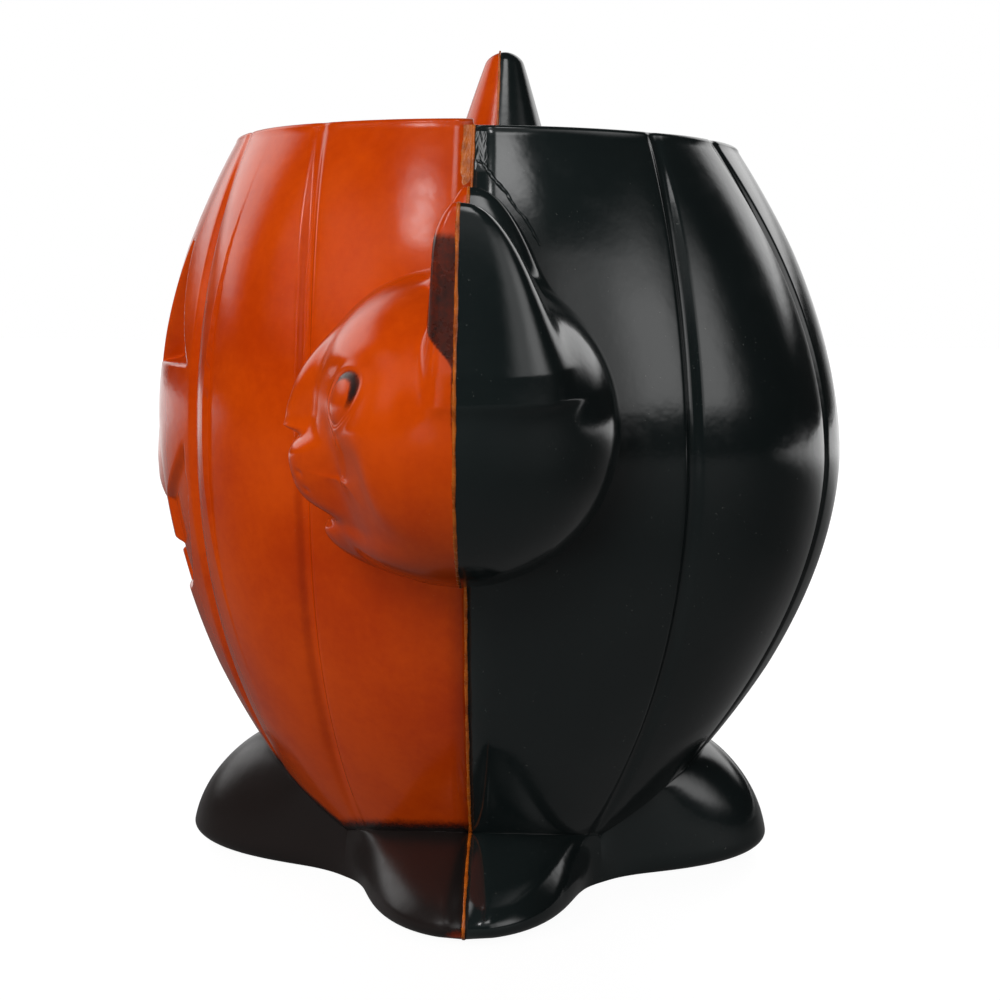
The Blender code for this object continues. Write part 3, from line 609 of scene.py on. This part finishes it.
# The cat's head: hollow, moulded with the cup and split with it along the seam between its face and
# its back. Its eyes were touched in with black, most of which has worn away.
HEAD_OFFSET = 0.0505
HEAD_HEIGHT = 0.0605
HEAD_LEAN = 8.0
FACE_FULLNESS = 0.85
CAT_SIZE = (0.0180, 0.0170, 0.0155, 0.0168)
EAR_SPREAD = 0.0102
EAR_BASE = 0.0055
EAR_ROOT = 0.0100
EAR_TIP = 0.0247
EAR_HALF_WIDTH = 0.0078
EAR_FRONT = 0.0023
EAR_REAR = 0.0112
EAR_HOLLOW = 0.0011
EAR_BLEND = 0.0011
MUZZLE_HEIGHT = -0.0044
EYE_SIDE = 0.0106
EYE_HEIGHT = 0.0050
EYE_SLANT = 0.30
EYE_HALF_WIDTH = 0.0022
EYE_HALF_HEIGHT = 0.0027


def lean(points, side):
    """Turns points of a head outwards about its centre and sets them at its place on the cup."""
    turn = math.radians(HEAD_LEAN) * side
    x, y, z = points[..., 0] * side, points[..., 1], points[..., 2]
    moved = [
        side * HEAD_OFFSET + x * math.cos(turn) + z * math.sin(turn),
        y,
        HEAD_HEIGHT - x * math.sin(turn) + z * math.cos(turn),
    ]
    return np.stack(moved, axis=-1)


def round_head(points, size, relief):
    """Below 0 in a head: an ellipsoid behind, and in front a fuller one with its relief."""
    half_width, half_height, front, rear = size
    across, depth, up = points[..., 0], points[..., 1], points[..., 2]
    ring = np.sqrt((across / half_width) ** 2 + (up / half_height) ** 2)
    ahead = np.clip(-depth / front, 0.0, 1.0) ** 0.4
    moved = np.maximum(-(depth + relief(across, up) * ahead), 0.0) / front
    power = 2.0 / FACE_FULLNESS
    face = (ring**power + moved**power) ** (1.0 / power)
    back = np.sqrt(ring**2 + (np.maximum(depth, 0.0) / rear) ** 2)
    return (np.where(depth < 0.0, face, back) - 1.0) * half_height


def bump(across, up, at_across, at_up, wide, tall):
    """A smooth round bump, 1 at its middle: a Gaussian with a width each way."""
    return np.exp(-(((across - at_across) / wide) ** 2) - ((up - at_up) / tall) ** 2)


def plateau(across, up, at_across, at_up, wide, tall):
    """A flat-topped bump with steep sides, 1 at its middle: the fourth powers of a bump's squares."""
    return np.exp(-(((across - at_across) / wide) ** 4) - ((up - at_up) / tall) ** 4)


def eye_ring(across, up):
    """0 at the middle of an eye and 1 on its almond outline, which slants up and out."""
    side = np.abs(across) - EYE_SIDE
    return np.hypot(side / EYE_HALF_WIDTH, (up - EYE_HEIGHT - EYE_SLANT * side) / EYE_HALF_HEIGHT)


def cat_relief(across, up):
    """How far the cat's nose, muzzle, chin, cheeks and eyes stand forward of its round head.

    The bridge of the nose, the muzzle and the chin are steep-sided blocks with notches between them.
    """
    side = np.abs(across)
    relief = 0.0004 * bump(side, up, 0.0, 0.0085, 0.0090, 0.0060)
    bridge = ease((0.0125 - up) / 0.0100) * ease((up + 0.0008) / 0.0012)
    relief += 0.0029 * bridge * np.exp(-((side / 0.0031) ** 4))
    relief += 0.0004 * bump(side, up, 0.0, 0.0018, 0.0024, 0.0012)
    relief += 0.0030 * plateau(side, up, 0.0, MUZZLE_HEIGHT, 0.0054, 0.0045)
    relief += 0.0004 * bump(side, up, 0.0036, -0.0034, 0.0028, 0.0030)
    relief -= 0.0005 * bump(side, up, 0.0, -0.0040, 0.0007, 0.0030)
    relief -= 0.0003 * bump(side, up, 0.0, -0.0002, 0.0060, 0.0010)
    relief -= 0.0022 * plateau(side, up, 0.0108, -0.0050, 0.0042, 0.0062)
    relief -= 0.0010 * bump(side, up, 0.0, -0.0092, 0.0070, 0.0010)
    relief += 0.0025 * plateau(side, up, 0.0, -0.0132, 0.0045, 0.0036)
    relief -= 0.0022 * bump(side, up, 0.0, -0.0168, 0.0200, 0.0022)
    slant = up - EYE_HEIGHT - EYE_SLANT * (side - EYE_SIDE)
    relief -= 0.0010 * np.exp(-(((side - 0.0105) / 0.0046) ** 4) - (slant / 0.0038) ** 4)
    ring = eye_ring(across, up)
    relief += 0.0006 * np.sqrt(np.clip(1.0 - ring**2, 0.0, 1.0))
    relief += 0.0002 * np.exp(-(((ring - 1.20) / 0.16) ** 2))
    for dot_side, dot_up in ((0.0030, -0.0052), (0.0044, -0.0042), (0.0046, -0.0060)):
        relief -= 0.00022 * bump(side, up, dot_side, dot_up, 0.00035, 0.00035)
    return relief


def pricked_ear(points, ear):
    """Below 0 in an ear: hollowed in front, rounded behind, shrinking from its root to a blunt tip."""
    across, depth, up = points[..., 0], points[..., 1], points[..., 2]
    share = np.clip((up - EAR_BASE) / (EAR_TIP - EAR_BASE), 0.0, 1.0)
    root = np.clip(1.0 - (EAR_BASE - up) / EAR_ROOT, 0.05, 1.0) * np.minimum(1.0, 0.92 + 0.5 * share)
    size = ((1.0 - share) ** 0.9 + 0.13 * np.sqrt(1.0 - share**2) + 0.02) * root
    middle = ear * (EAR_SPREAD - 0.0016 * (1.0 - share))
    wide = np.abs(across - middle) / (EAR_HALF_WIDTH * size)
    thick = EAR_FRONT * (1.0 - share**8) + 0.0006
    thick = thick - EAR_HOLLOW * np.exp(-((wide / 0.6) ** 4)) * ease((0.0215 - up) / 0.0050)
    front = -np.minimum(depth, 0.0) / thick
    rear = np.maximum(depth, 0.0) / (EAR_REAR * np.sqrt(1.0 - share) * root + 0.0003)
    power = np.where(depth < 0.0, 5.0, 3.2)
    reach = (wide**power + front**power + rear**power) ** (1.0 / power)
    inside = (reach - 1.0) * EAR_HALF_WIDTH * size
    return np.maximum(inside, np.maximum(up - EAR_TIP, EAR_BASE - 0.8 * EAR_ROOT - up))


def cat_field(points):
    """The head and both ears run together with a small round between them."""
    parts = [round_head(points, CAT_SIZE, cat_relief), pricked_ear(points, -1), pricked_ear(points, 1)]
    return -EAR_BLEND * np.log(sum(np.exp(-np.clip(part / EAR_BLEND, -40.0, 40.0)) for part in parts))


def outer_distance(field, direction, near, far, steps, halvings=9):
    """The furthest distance at which each direction from a head's middle is in its field."""
    reach = np.full(direction.shape[:2], near)
    found = np.zeros(direction.shape[:2], bool)
    step = (far - near) / steps
    for distance in np.arange(far, near, -step):
        inside = (field(direction * distance) < 0.0) & ~found
        reach[inside] = distance
        found |= inside
    low, high = reach, reach + step
    for _ in range(halvings):
        middle = (low + high) / 2.0
        inside = field(direction * middle[..., None]) < 0.0
        low, high = np.where(inside, middle, low), np.where(inside, high, middle)
    return (low + high) / 2.0


def head_half(field, side, half, tilt, around, far):
    """Half of a head as rings round its front-to-rear axis, from its pole to the seam.

    Where it runs into the cup it stops inside the cup's wall.
    """
    turn = np.linspace(0.0, 2.0 * math.pi, around, endpoint=False)[None, :]
    tilt = np.radians(tilt)[:, None]
    forward = -np.cos(tilt) if half == "front_half" else np.cos(tilt)
    direction = np.stack(
        [np.sin(tilt) * np.cos(turn), forward + 0.0 * turn, np.sin(tilt) * np.sin(turn)], axis=-1
    )
    points = direction * outer_distance(field, direction, 0.007, far, 70)[..., None]
    moved = lean(points, side)
    level = np.clip(moved[..., 2], WAIST_HEIGHT, RIM_HEIGHT)
    angle = np.degrees(np.arctan2(moved[..., 1], moved[..., 0]))
    length = np.linalg.norm(moved[..., :2], axis=-1)
    wanted = np.maximum(length, cup_radius(level, angle) - WALL / 2.0)
    moved[..., :2] *= (wanted / length)[..., None]
    return hold_off_seam(moved, half), points


FRONT_TILTS = np.concatenate([
    np.linspace(1.0, 60.0, 88), np.linspace(60.6, 78.0, 30), np.linspace(78.4, 90.0, 36)
])
REAR_TILTS = np.concatenate([np.linspace(1.5, 70.0, 50), np.linspace(70.9, 90.0, 34)])
CAT_AROUND = 360


def cat_paint(points):
    """What is left of the black paint: an arc over each eye, and the fronts of the ears down to the seam."""
    side, depth, up = np.abs(points[..., 0]), points[..., 1], points[..., 2]
    ring = eye_ring(points[..., 0], up)
    lid = ease(0.45 + 0.6 * (up - EYE_HEIGHT) / EYE_HALF_HEIGHT + 0.3 * (side - EYE_SIDE) / EYE_HALF_WIDTH)
    eye = 0.8 * ease((1.25 - ring) / 0.35) * ease((ring - 0.55) / 0.3) * lid * (depth < -0.005)
    reach = 0.0007 + 0.0027 * ease((up - 0.0090) / 0.0040)
    ear = 0.72 * ease((up + 0.0020) / 0.0080) * ease((0.0226 - up) / 0.0014) * ease((depth + reach) / 0.0006)
    return np.maximum(eye, ear)


seam_edges["cat_head"] = []
for half, tilts in (("front_half", FRONT_TILTS), ("rear_half", REAR_TILTS)):
    grid, local = head_half(cat_field, 1, half, tilts, CAT_AROUND, 0.0290)
    paint = cat_paint(local) if half == "front_half" else 0.0
    seam_edges["cat_head"].append(grid[-1])
    name = half.replace("half", "cat_head")
    pole = grid[0].mean(axis=0)
    fit(surface(name, grid, start=pole, closed=True, flip=half == "rear_half", paint=paint), half)

# The witch's head: hollow like the cat's, with a hooked nose, a bob of hair and a tall pointed hat.
# The photograph hides it behind the cup but for the hat, so its face is a plain traditional one.
WITCH_SIZE = (0.0138, 0.0172, 0.0140, 0.0172)
BRIM_RADIUS = 0.0190
BRIM_HEIGHT = 0.0115
BRIM_THICKNESS = 0.0024
HAT_BASE_RADIUS = 0.0152
HAT_TIP = 0.0552
HAT_TIP_RADIUS = 0.0025
HAT_TIP_ROUND = 0.0020
HAT_TAPER_POWER = 0.93
HAT_SLUMP = 0.0008
HAIR_TOP = 0.0120
HAIR_FOOT = -0.0160


def witch_relief(across, up):
    """How far the witch's hooked nose, chin, brows and cheeks stand forward."""
    side = np.abs(across)
    droop = np.clip((0.0040 - up) / 0.0080, 0.0, 1.0)
    relief = (0.0022 + 0.0042 * droop) * bump(side, up, 0.0, -0.0010, 0.0026, 0.0052)
    relief += 0.0014 * bump(side, up, 0.0046, 0.0066, 0.0042, 0.0014)
    relief -= 0.0016 * bump(side, up, 0.0050, 0.0030, 0.0032, 0.0022)
    relief += 0.0009 * bump(side, up, 0.0050, 0.0028, 0.0017, 0.0013)
    relief += 0.0014 * bump(side, up, 0.0070, -0.0026, 0.0032, 0.0032)
    relief -= 0.0014 * bump(side, up, 0.0, -0.0082, 0.0050, 0.0010)
    relief += 0.0044 * bump(side, up, 0.0, -0.0132, 0.0036, 0.0034)
    return relief


def witch_field(points):
    """The witch's head alone."""
    return round_head(points, WITCH_SIZE, witch_relief)


def turned(profile, half, around=150):
    """A half turn of (radius, height, shift to the rear) rows about a head's upright axis.

    Each row starts and ends in the seam plane, whatever its shift.
    """
    radius, height, shift = (np.array(column)[:, None] for column in zip(*profile))
    over = np.arcsin(np.clip(shift / radius, 0.0, 1.0))
    low, high = (math.pi + over, 2.0 * math.pi - over) if half == "front_half" else (-over, math.pi + over)
    turn = low + (high - low) * np.linspace(0.0, 1.0, around)[None, :]
    local = np.stack([radius * np.cos(turn), radius * np.sin(turn) + shift, height + 0.0 * turn], axis=-1)
    return hold_off_seam(lean(local, -1), half)


def hat_radius(down):
    """The hat's radius at a depth below its tip: a cone by a power, rounded off at the tip."""
    share = down / (HAT_TIP - BRIM_HEIGHT)
    cone = HAT_TIP_RADIUS + (HAT_BASE_RADIUS - HAT_TIP_RADIUS) * share**HAT_TAPER_POWER
    return cone * np.sqrt(1.0 - np.clip(1.0 - down / HAT_TIP_ROUND, 0.0, None) ** 2)


def hat_rows():
    """The hat from its round tip down its cone, which leans back towards the tip, to a small flare."""
    length = HAT_TIP - BRIM_HEIGHT - BRIM_THICKNESS * 0.4
    down = np.concatenate([HAT_TIP_ROUND * np.linspace(0.001, 1.0, 14) ** 2, np.linspace(0.0024, length, 90)])
    flare = 0.0012 * np.exp((down - length) / 0.0012)
    slump = HAT_SLUMP * (1.0 - down / (HAT_TIP - BRIM_HEIGHT))
    return list(zip(hat_radius(down) + flare, HAT_TIP - down, slump))


def brim_rows():
    """The hat's brim, a round plate with a rounded edge, from its top to its underside."""
    half = BRIM_THICKNESS / 2.0
    rows = [
        (radius, BRIM_HEIGHT + half * (1.9 - 1.3 * radius / BRIM_RADIUS), 0.0)
        for radius in np.linspace(BRIM_RADIUS * 0.6, BRIM_RADIUS - half, 16)
    ]
    for turn in np.radians(np.linspace(60.0, -90.0, 14)):
        height = BRIM_HEIGHT + half * 0.7 * math.sin(turn) - half * 0.3
        rows.append((BRIM_RADIUS - half * (1.0 - math.cos(turn)), height, 0.0))
    rows += [(radius, BRIM_HEIGHT - half, 0.0) for radius in np.linspace(BRIM_RADIUS - half * 1.3, 0.002, 10)]
    return rows


def hair_grid(half, around=260):
    """The bob: a full curve behind and beside the face, scalloped into locks with fine strands."""
    low = 180.0 if half == "front_half" else 0.0
    turn = np.radians(np.linspace(low, low + 180.0, around))[None, :]
    up = np.linspace(HAIR_TOP, HAIR_FOOT, 90)[:, None]
    share = (HAIR_TOP - up) / (HAIR_TOP - HAIR_FOOT)
    radius = 0.0150 + 0.0030 * np.sin(share * math.pi * 0.8)
    strands = np.cos(50.0 * turn + 5.0 * np.sin(9.0 * share))
    locks = 1.0 + 0.035 * share * np.cos(10.0 * turn) + 0.008 * share * strands
    depth = np.where(np.sin(turn) > 0.0, 1.0, 0.42)
    rounded = np.sqrt(np.clip((1.0 - share) / 0.07, 0.0, 1.0))
    radius = radius * locks * (0.86 + 0.14 * rounded)
    local = np.stack([radius * np.cos(turn), radius * depth * np.sin(turn), up + 0.0 * turn], axis=-1)
    return hold_off_seam(lean(local, -1), half)


seam_edges["witch_head"] = []
for half, tilts in (("front_half", FRONT_TILTS), ("rear_half", REAR_TILTS)):
    side = half.replace("_half", "")
    grid, local = head_half(witch_field, -1, half, tilts, 320, 0.0250)
    seam_edges["witch_head"].append(grid[-1])
    pole = grid[0].mean(axis=0)
    fit(surface(side + "_witch_head", grid, start=pole, closed=True, flip=half == "front_half"), half)
    for label, grid in (
        ("hat", turned(hat_rows(), half)),
        ("hat_brim", turned(brim_rows(), half)),
        ("hair", hair_grid(half)),
    ):
        tip = grid[0].mean(axis=0) if label == "hat" else None
        seam_edges[side + "_" + label] = grid
        fit(surface(side + "_witch_" + label, grid, start=tip, flip=True), half)

# The cement: an amber solvent glue that was run into the seam and stands out of it as a thin line.
# It fills the gap between the two halves, and more of it was squeezed out near the rim by the cat.
BEAD_HALF_WIDTH = 0.00019
BEAD_HEIGHT = 0.00010
BEAD_DEPTH = 0.0012
AMBER = (0.360, 0.085, 0.007, 1.0)
AMBER_DARK = (0.190, 0.036, 0.003, 1.0)

cement = Finish("amber_cement", Roughness=0.22, IOR=1.5)
cement.feed("Base Color", cement.blend(cement.noise(500.0, 3.0, 0.6).step(0.30, 0.65), AMBER_DARK, AMBER))
cement.feed("Roughness", 0.16 + cement.noise(1500.0, 2.0, 0.6) * 0.2)
cement.bump(cement.noise(1400.0, 3.0, 0.6), 0.00006)


def ripple(along, seed):
    """An uneven number about 0, a sum of sines along a path."""
    return (
        0.5 * np.sin(along * 700.0 + seed) + 0.3 * np.sin(along * 1900.0 + 2.0 * seed)
        + 0.2 * np.sin(along * 4300.0 + 3.0 * seed)
    )


def bead(path, seed, closed=False):
    """A nail-shaped section along a path in the seam plane: a low round head over a web in the gap."""
    path = path * np.array([1.0, 0.0, 1.0])
    ahead = np.roll(path, -1, axis=0) - np.roll(path, 1, axis=0) if closed else np.gradient(path, axis=0)
    ahead = ahead / np.maximum(np.linalg.norm(ahead, axis=-1, keepdims=True), 1e-9)
    outward = np.stack([ahead[:, 2], np.zeros(len(path)), -ahead[:, 0]], axis=-1)[:, None, :]
    along = np.cumsum(np.linalg.norm(np.diff(path, axis=0, prepend=path[:1]), axis=-1))[:, None]
    turn = np.radians([-90.0, -60.0, -30.0, 0.0, 30.0, 60.0, 90.0])[None, :]
    wide = BEAD_HALF_WIDTH * (1.0 + 0.30 * ripple(along, seed)) * np.sin(turn)
    tall = BEAD_HEIGHT * (1.0 + 0.25 * ripple(along, seed + 2.0)) * np.cos(turn)
    web = SEAM_GAP / 2.0 * np.ones((len(path), 1))
    wide = np.hstack([wide + 0.00003 * ripple(along * 0.6, seed + 4.0), web, web, -web, -web])
    tall = np.hstack([tall, -web, -BEAD_DEPTH + 0.0 * web, -BEAD_DEPTH + 0.0 * web, -web])
    grid = path[:, None, :] + outward * tall[..., None]
    grid[..., 1] += wide
    return np.vstack([grid, grid[:1]]) if closed else grid


def on_wall(angle, height, lift):
    """Points that stand by a lift off the cup's outside between the grooves beside the seam."""
    share = (RIM_HEIGHT - height) / (RIM_HEIGHT - WAIST_HEIGHT)
    return polar(cup_radius(height, angle) + rib_fade(share) * RIB_CROWN * 0.97 + lift, angle, height)


def smear(low, high, foot, top, thick, seed):
    """A thin crinkled skin of glue between two angles and two heights, thin at its edges."""
    height = np.linspace(top, foot, 90)[:, None]
    share = np.linspace(0.0, 1.0, 60)[None, :]
    along = (height - foot) / (top - foot)
    edge = 0.5 * ripple(height * 1.3, seed)
    angle = low + (high + edge * (high - low) * 0.35 * (1.0 - 0.6 * along) - low) * share
    skin = np.clip(12.0 * share * (1.0 - share) * along * 2.0, 0.0, 1.0) ** 0.5
    wrinkle = 0.75 + 0.25 * ripple(height + 0.0006 * np.sin(9.0 * share + seed), seed + 1.0)
    return on_wall(angle, height, thick * skin * wrinkle - 0.00004)


def rope(stops, thick, thin, seed):
    """A thread of glue that lies on the cup along (angle, height) stops and tapers to its end."""
    angle, height = (np.interp(np.linspace(0.0, 1.0, 120), np.linspace(0.0, 1.0, len(stops)), column)
                     for column in zip(*stops))
    share = np.linspace(0.0, 1.0, 120)[:, None]
    along = share * 0.012
    radius = (thick + (thin - thick) * share) * (1.0 + 0.30 * ripple(along * 1.6, seed))
    turn = np.linspace(0.0, 2.0 * math.pi, 14, endpoint=False)[None, :]
    across = radius * np.cos(turn) / np.radians(1.0) / RIM_RADIUS
    sway = 0.25 * ripple(along, seed + 2.0)
    angle = angle[:, None] + across + sway
    return on_wall(angle, height[:, None] + 0.0 * across, radius * np.sin(turn) * 0.8)


inner_edge = inside_wall("rear_half", np.array([[0.0, 180.0]]))
cup_path = np.vstack([
    seam_edges["rear_cat_rib"][::-1], inner_edge[:, 0], inner_edge[::-1, 1], seam_edges["rear_witch_rib"]
])
cup_path = cup_path[cup_path[:, 2] > 0.0004]
beads = {
    "cement_cup": (cup_path, 1.0, False),
    "cement_cat_head": (seam_edges["cat_head"][1], 4.0, True),
    "cement_witch_head": (seam_edges["witch_head"][1][::-1], 5.0, True),
}
for label in ("hat", "hat_brim", "hair"):
    rows = seam_edges["rear_" + label]
    beads["cement_witch_" + label] = (np.vstack([rows[::-1, -1], rows[:, 0]]), 6.0, False)
for name, (path, seed, closed) in beads.items():
    grid = bead(path, seed, closed)
    ends = (None, None) if closed else (grid[0].mean(axis=0), grid[-1].mean(axis=0))
    fit(surface(name, grid, start=ends[0], end=ends[1], closed=True), "rear_half", cement)

SMEARS = (
    ("cement_smear_cat_front", "front_half", -0.2, -2.1, 0.0868, 0.0942, 0.00012, 1.0),
    ("glossy_smear_cat_rear", "rear_half", 0.3, 2.8, 0.0885, 0.0934, 0.00016, 2.0),
)
for name, half, low, high, foot, top, thick, seed in SMEARS:
    finish = cement if half == "front_half" else black
    fit(surface(name, smear(low, high, foot, top, thick, seed), flip=half == "rear_half"), half, finish)
ROPE_STOPS = (
    (1.2, 0.0900), (2.1, 0.0894), (3.3, 0.0882), (4.7, 0.0871), (6.3, 0.0858), (7.6, 0.0845), (9.2, 0.0831),
    (10.4, 0.0816), (11.0, 0.0802),
)
grid = rope(ROPE_STOPS, 0.00034, 0.00012, 3.0)
fit(surface("cement_thread", grid, start=grid[0].mean(axis=0), end=grid[-1].mean(axis=0), closed=True),
    "rear_half", black)

# The studio: a pale floor, a sky with soft windows that show in the gloss, three broad lamps, and the
# camera at the photograph's place, close enough that the cup's rim shows as a flat line.
CAMERA_DISTANCE = 0.239
CAMERA_HEIGHT = 0.0736
CAMERA_AZIMUTH = 92.3
CAMERA_PITCH = 4.0
CAMERA_ROLL = 0.56
PIXELS = 1000.0
FOCAL_PIXELS = 0.239 / 0.000135
SHIFT_LEFT = -18.2
SHIFT_UP = 72.0

camera_data = bpy.data.cameras.new("camera")
camera = bpy.data.objects.new("camera", camera_data)
bpy.context.scene.collection.objects.link(camera)
bpy.context.scene.camera = camera
turn, pitch, roll = (math.radians(value) for value in (CAMERA_AZIMUTH, CAMERA_PITCH, CAMERA_ROLL))
level = Vector((-math.sin(turn), math.cos(turn), 0.0))
right = Vector((level.y, -level.x, 0.0))
ahead = level * math.cos(pitch) - Vector((0.0, 0.0, math.sin(pitch)))
above = right.cross(ahead)
right, above = (
    right * math.cos(roll) + above * math.sin(roll),
    above * math.cos(roll) - right * math.sin(roll),
)
camera.matrix_world = Matrix((right, above, -ahead)).transposed().to_4x4()
camera.location = Vector((AXIS_X, AXIS_Y, CAMERA_HEIGHT)) - level * CAMERA_DISTANCE
camera_data.sensor_width = 36.0
camera_data.lens = FOCAL_PIXELS / PIXELS * camera_data.sensor_width
camera_data.shift_x = -(SHIFT_LEFT * math.cos(roll) + SHIFT_UP * math.sin(roll)) / PIXELS
camera_data.shift_y = (SHIFT_LEFT * math.sin(roll) - SHIFT_UP * math.cos(roll)) / PIXELS
camera_data.clip_start = 0.01

FLOOR_SIZE = 3.0
FLOOR_NEAR = 0.20
FLOOR_FAR = 0.50
FLOOR_WHITE = 0.955
FLOOR_GLOW = 0.06
GLOW_REACH = (0.06, 0.16)
BEHIND = -0.06
BEHIND_RISE = (0.1, 0.7)

floor_finish = Finish("pale_floor", Base_Color=(0.05, 0.05, 0.05, 1.0), Roughness=0.6, Emission_Strength=1.0)
place = floor_finish.place()
sides = floor_finish.node("ShaderNodeSeparateXYZ", {}, place, output="X")
apart = floor_finish.node("ShaderNodeVectorMath", {"operation": "LENGTH"}, place, output="Value")
for_camera, for_gloss, for_glass = floor_finish.rays()
shown = for_camera * (FLOOR_WHITE + apart.step(FLOOR_NEAR, FLOOR_FAR) * (1.0 - FLOOR_WHITE))
shown = shown + for_gloss * (1.0 - apart.step(*GLOW_REACH)) * FLOOR_GLOW
shown = shown + (for_gloss + for_glass) * (BEHIND - sides).step(*BEHIND_RISE)
floor_finish.feed("Emission Color", shown)
spread = np.linspace(-FLOOR_SIZE, FLOOR_SIZE, 9)
floor_grid = np.stack(np.meshgrid(spread, spread, indexing="ij") + [np.full((9, 9), -0.0001)], axis=-1)
floor = surface("floor", floor_grid)
floor.data.materials.append(floor_finish.material)


MIDDLE = Vector((0.0, 0.0, 0.055))
LAMPS = (
    ("front_lamp", (0.42, -0.75, 0.55), 0.40, 4.6),
    ("side_lamp", (0.95, -0.20, 0.55), 0.40, 4.6),
    ("low_lamp", (0.90, -0.30, 0.05), 0.30, 4.2),
)
for name, place, size, power in LAMPS:
    data = bpy.data.lights.new(name, "AREA")
    data.size = size
    data.energy = power
    lamp = bpy.data.objects.new(name, data)
    lamp.location = place
    lamp.rotation_euler = (MIDDLE - Vector(place)).to_track_quat("-Z", "Y").to_euler()
    lamp.visible_glossy = False
    bpy.context.scene.collection.objects.link(lamp)


class Sky(Finish):
    """The world's nodes, made by the same methods as a material's."""

    def __init__(self, name):
        world = bpy.data.worlds.new(name)
        world.use_nodes = True
        bpy.context.scene.world = world
        self.tree = world.node_tree
        self.shader = self.tree.nodes["Background"]

    def window(self, azimuth, elevation, soft, light):
        """Light from a patch of the sky between two azimuths and two elevations, in degrees.

        soft is how far each edge fades either way: the two of the azimuth, then of the elevation.
        """
        share = light
        sides = ((self.azimuth, azimuth, soft[:2]), (self.elevation, elevation, soft[2:]))
        for value, (low, high), (rise, fall) in sides:
            share = value.step(low - rise, low + rise) * share
            share = (1.0 - value.step(high - fall, high + fall)) * share
        return share


WINDOWS = (
    ((26.0, 80.0), (8.0, 42.0), (9.0, 12.0, 0.8, 7.0), 0.8),
    ((52.0, 78.0), (10.0, 34.0), (9.0, 9.0, 1.5, 8.0), 0.9),
    ((-50.0, 26.0), (32.0, 62.0), (12.0, 9.0, 6.0, 10.0), 0.22),
    ((-40.0, -28.0), (42.0, 54.0), (3.0, 3.0, 2.0, 2.0), 9.0),
    ((-6.0, 26.0), (54.0, 70.0), (7.0, 7.0, 4.0, 5.0), 3.5),
    ((-150.0, -105.0), (12.0, 42.0), (8.0, 8.0, 3.0, 6.0), 1.6),
    ((130.0, 172.0), (12.0, 40.0), (8.0, 8.0, 3.0, 6.0), 1.6),
)
DARK = 0.012
VIEW = (-0.999, -0.04)
VIEW_SPREAD = (0.80, 0.99)

sky = Sky("studio")
direction = sky.node("ShaderNodeTexCoord", {}, output="Generated")
across_x = sky.node("ShaderNodeSeparateXYZ", {}, direction, output="X")
across_y = sky.node("ShaderNodeSeparateXYZ", {}, direction, output="Y")
upward = sky.node("ShaderNodeSeparateXYZ", {}, direction, output="Z")
sky.azimuth = across_y.math("ARCTAN2", across_y, across_x) * (180.0 / math.pi)
sky.elevation = upward.math("ARCSINE", upward) * (180.0 / math.pi)
light = DARK + sum((sky.window(*window) for window in WINDOWS[1:]), sky.window(*WINDOWS[0]))
away = (across_x * VIEW[0] + across_y * VIEW[1]).step(*VIEW_SPREAD)
for_camera, for_gloss, for_glass = sky.rays()
white = for_camera + (for_gloss + for_glass) * away
white = white.math("MINIMUM", white, 1.0)
light = sky.node("ShaderNodeCombineXYZ", {}, light, light, light)
sky.feed("Color", sky.blend(white, light, (1.0, 1.0, 1.0, 1.0)))

bpy.context.scene.view_settings.view_transform = "Standard"
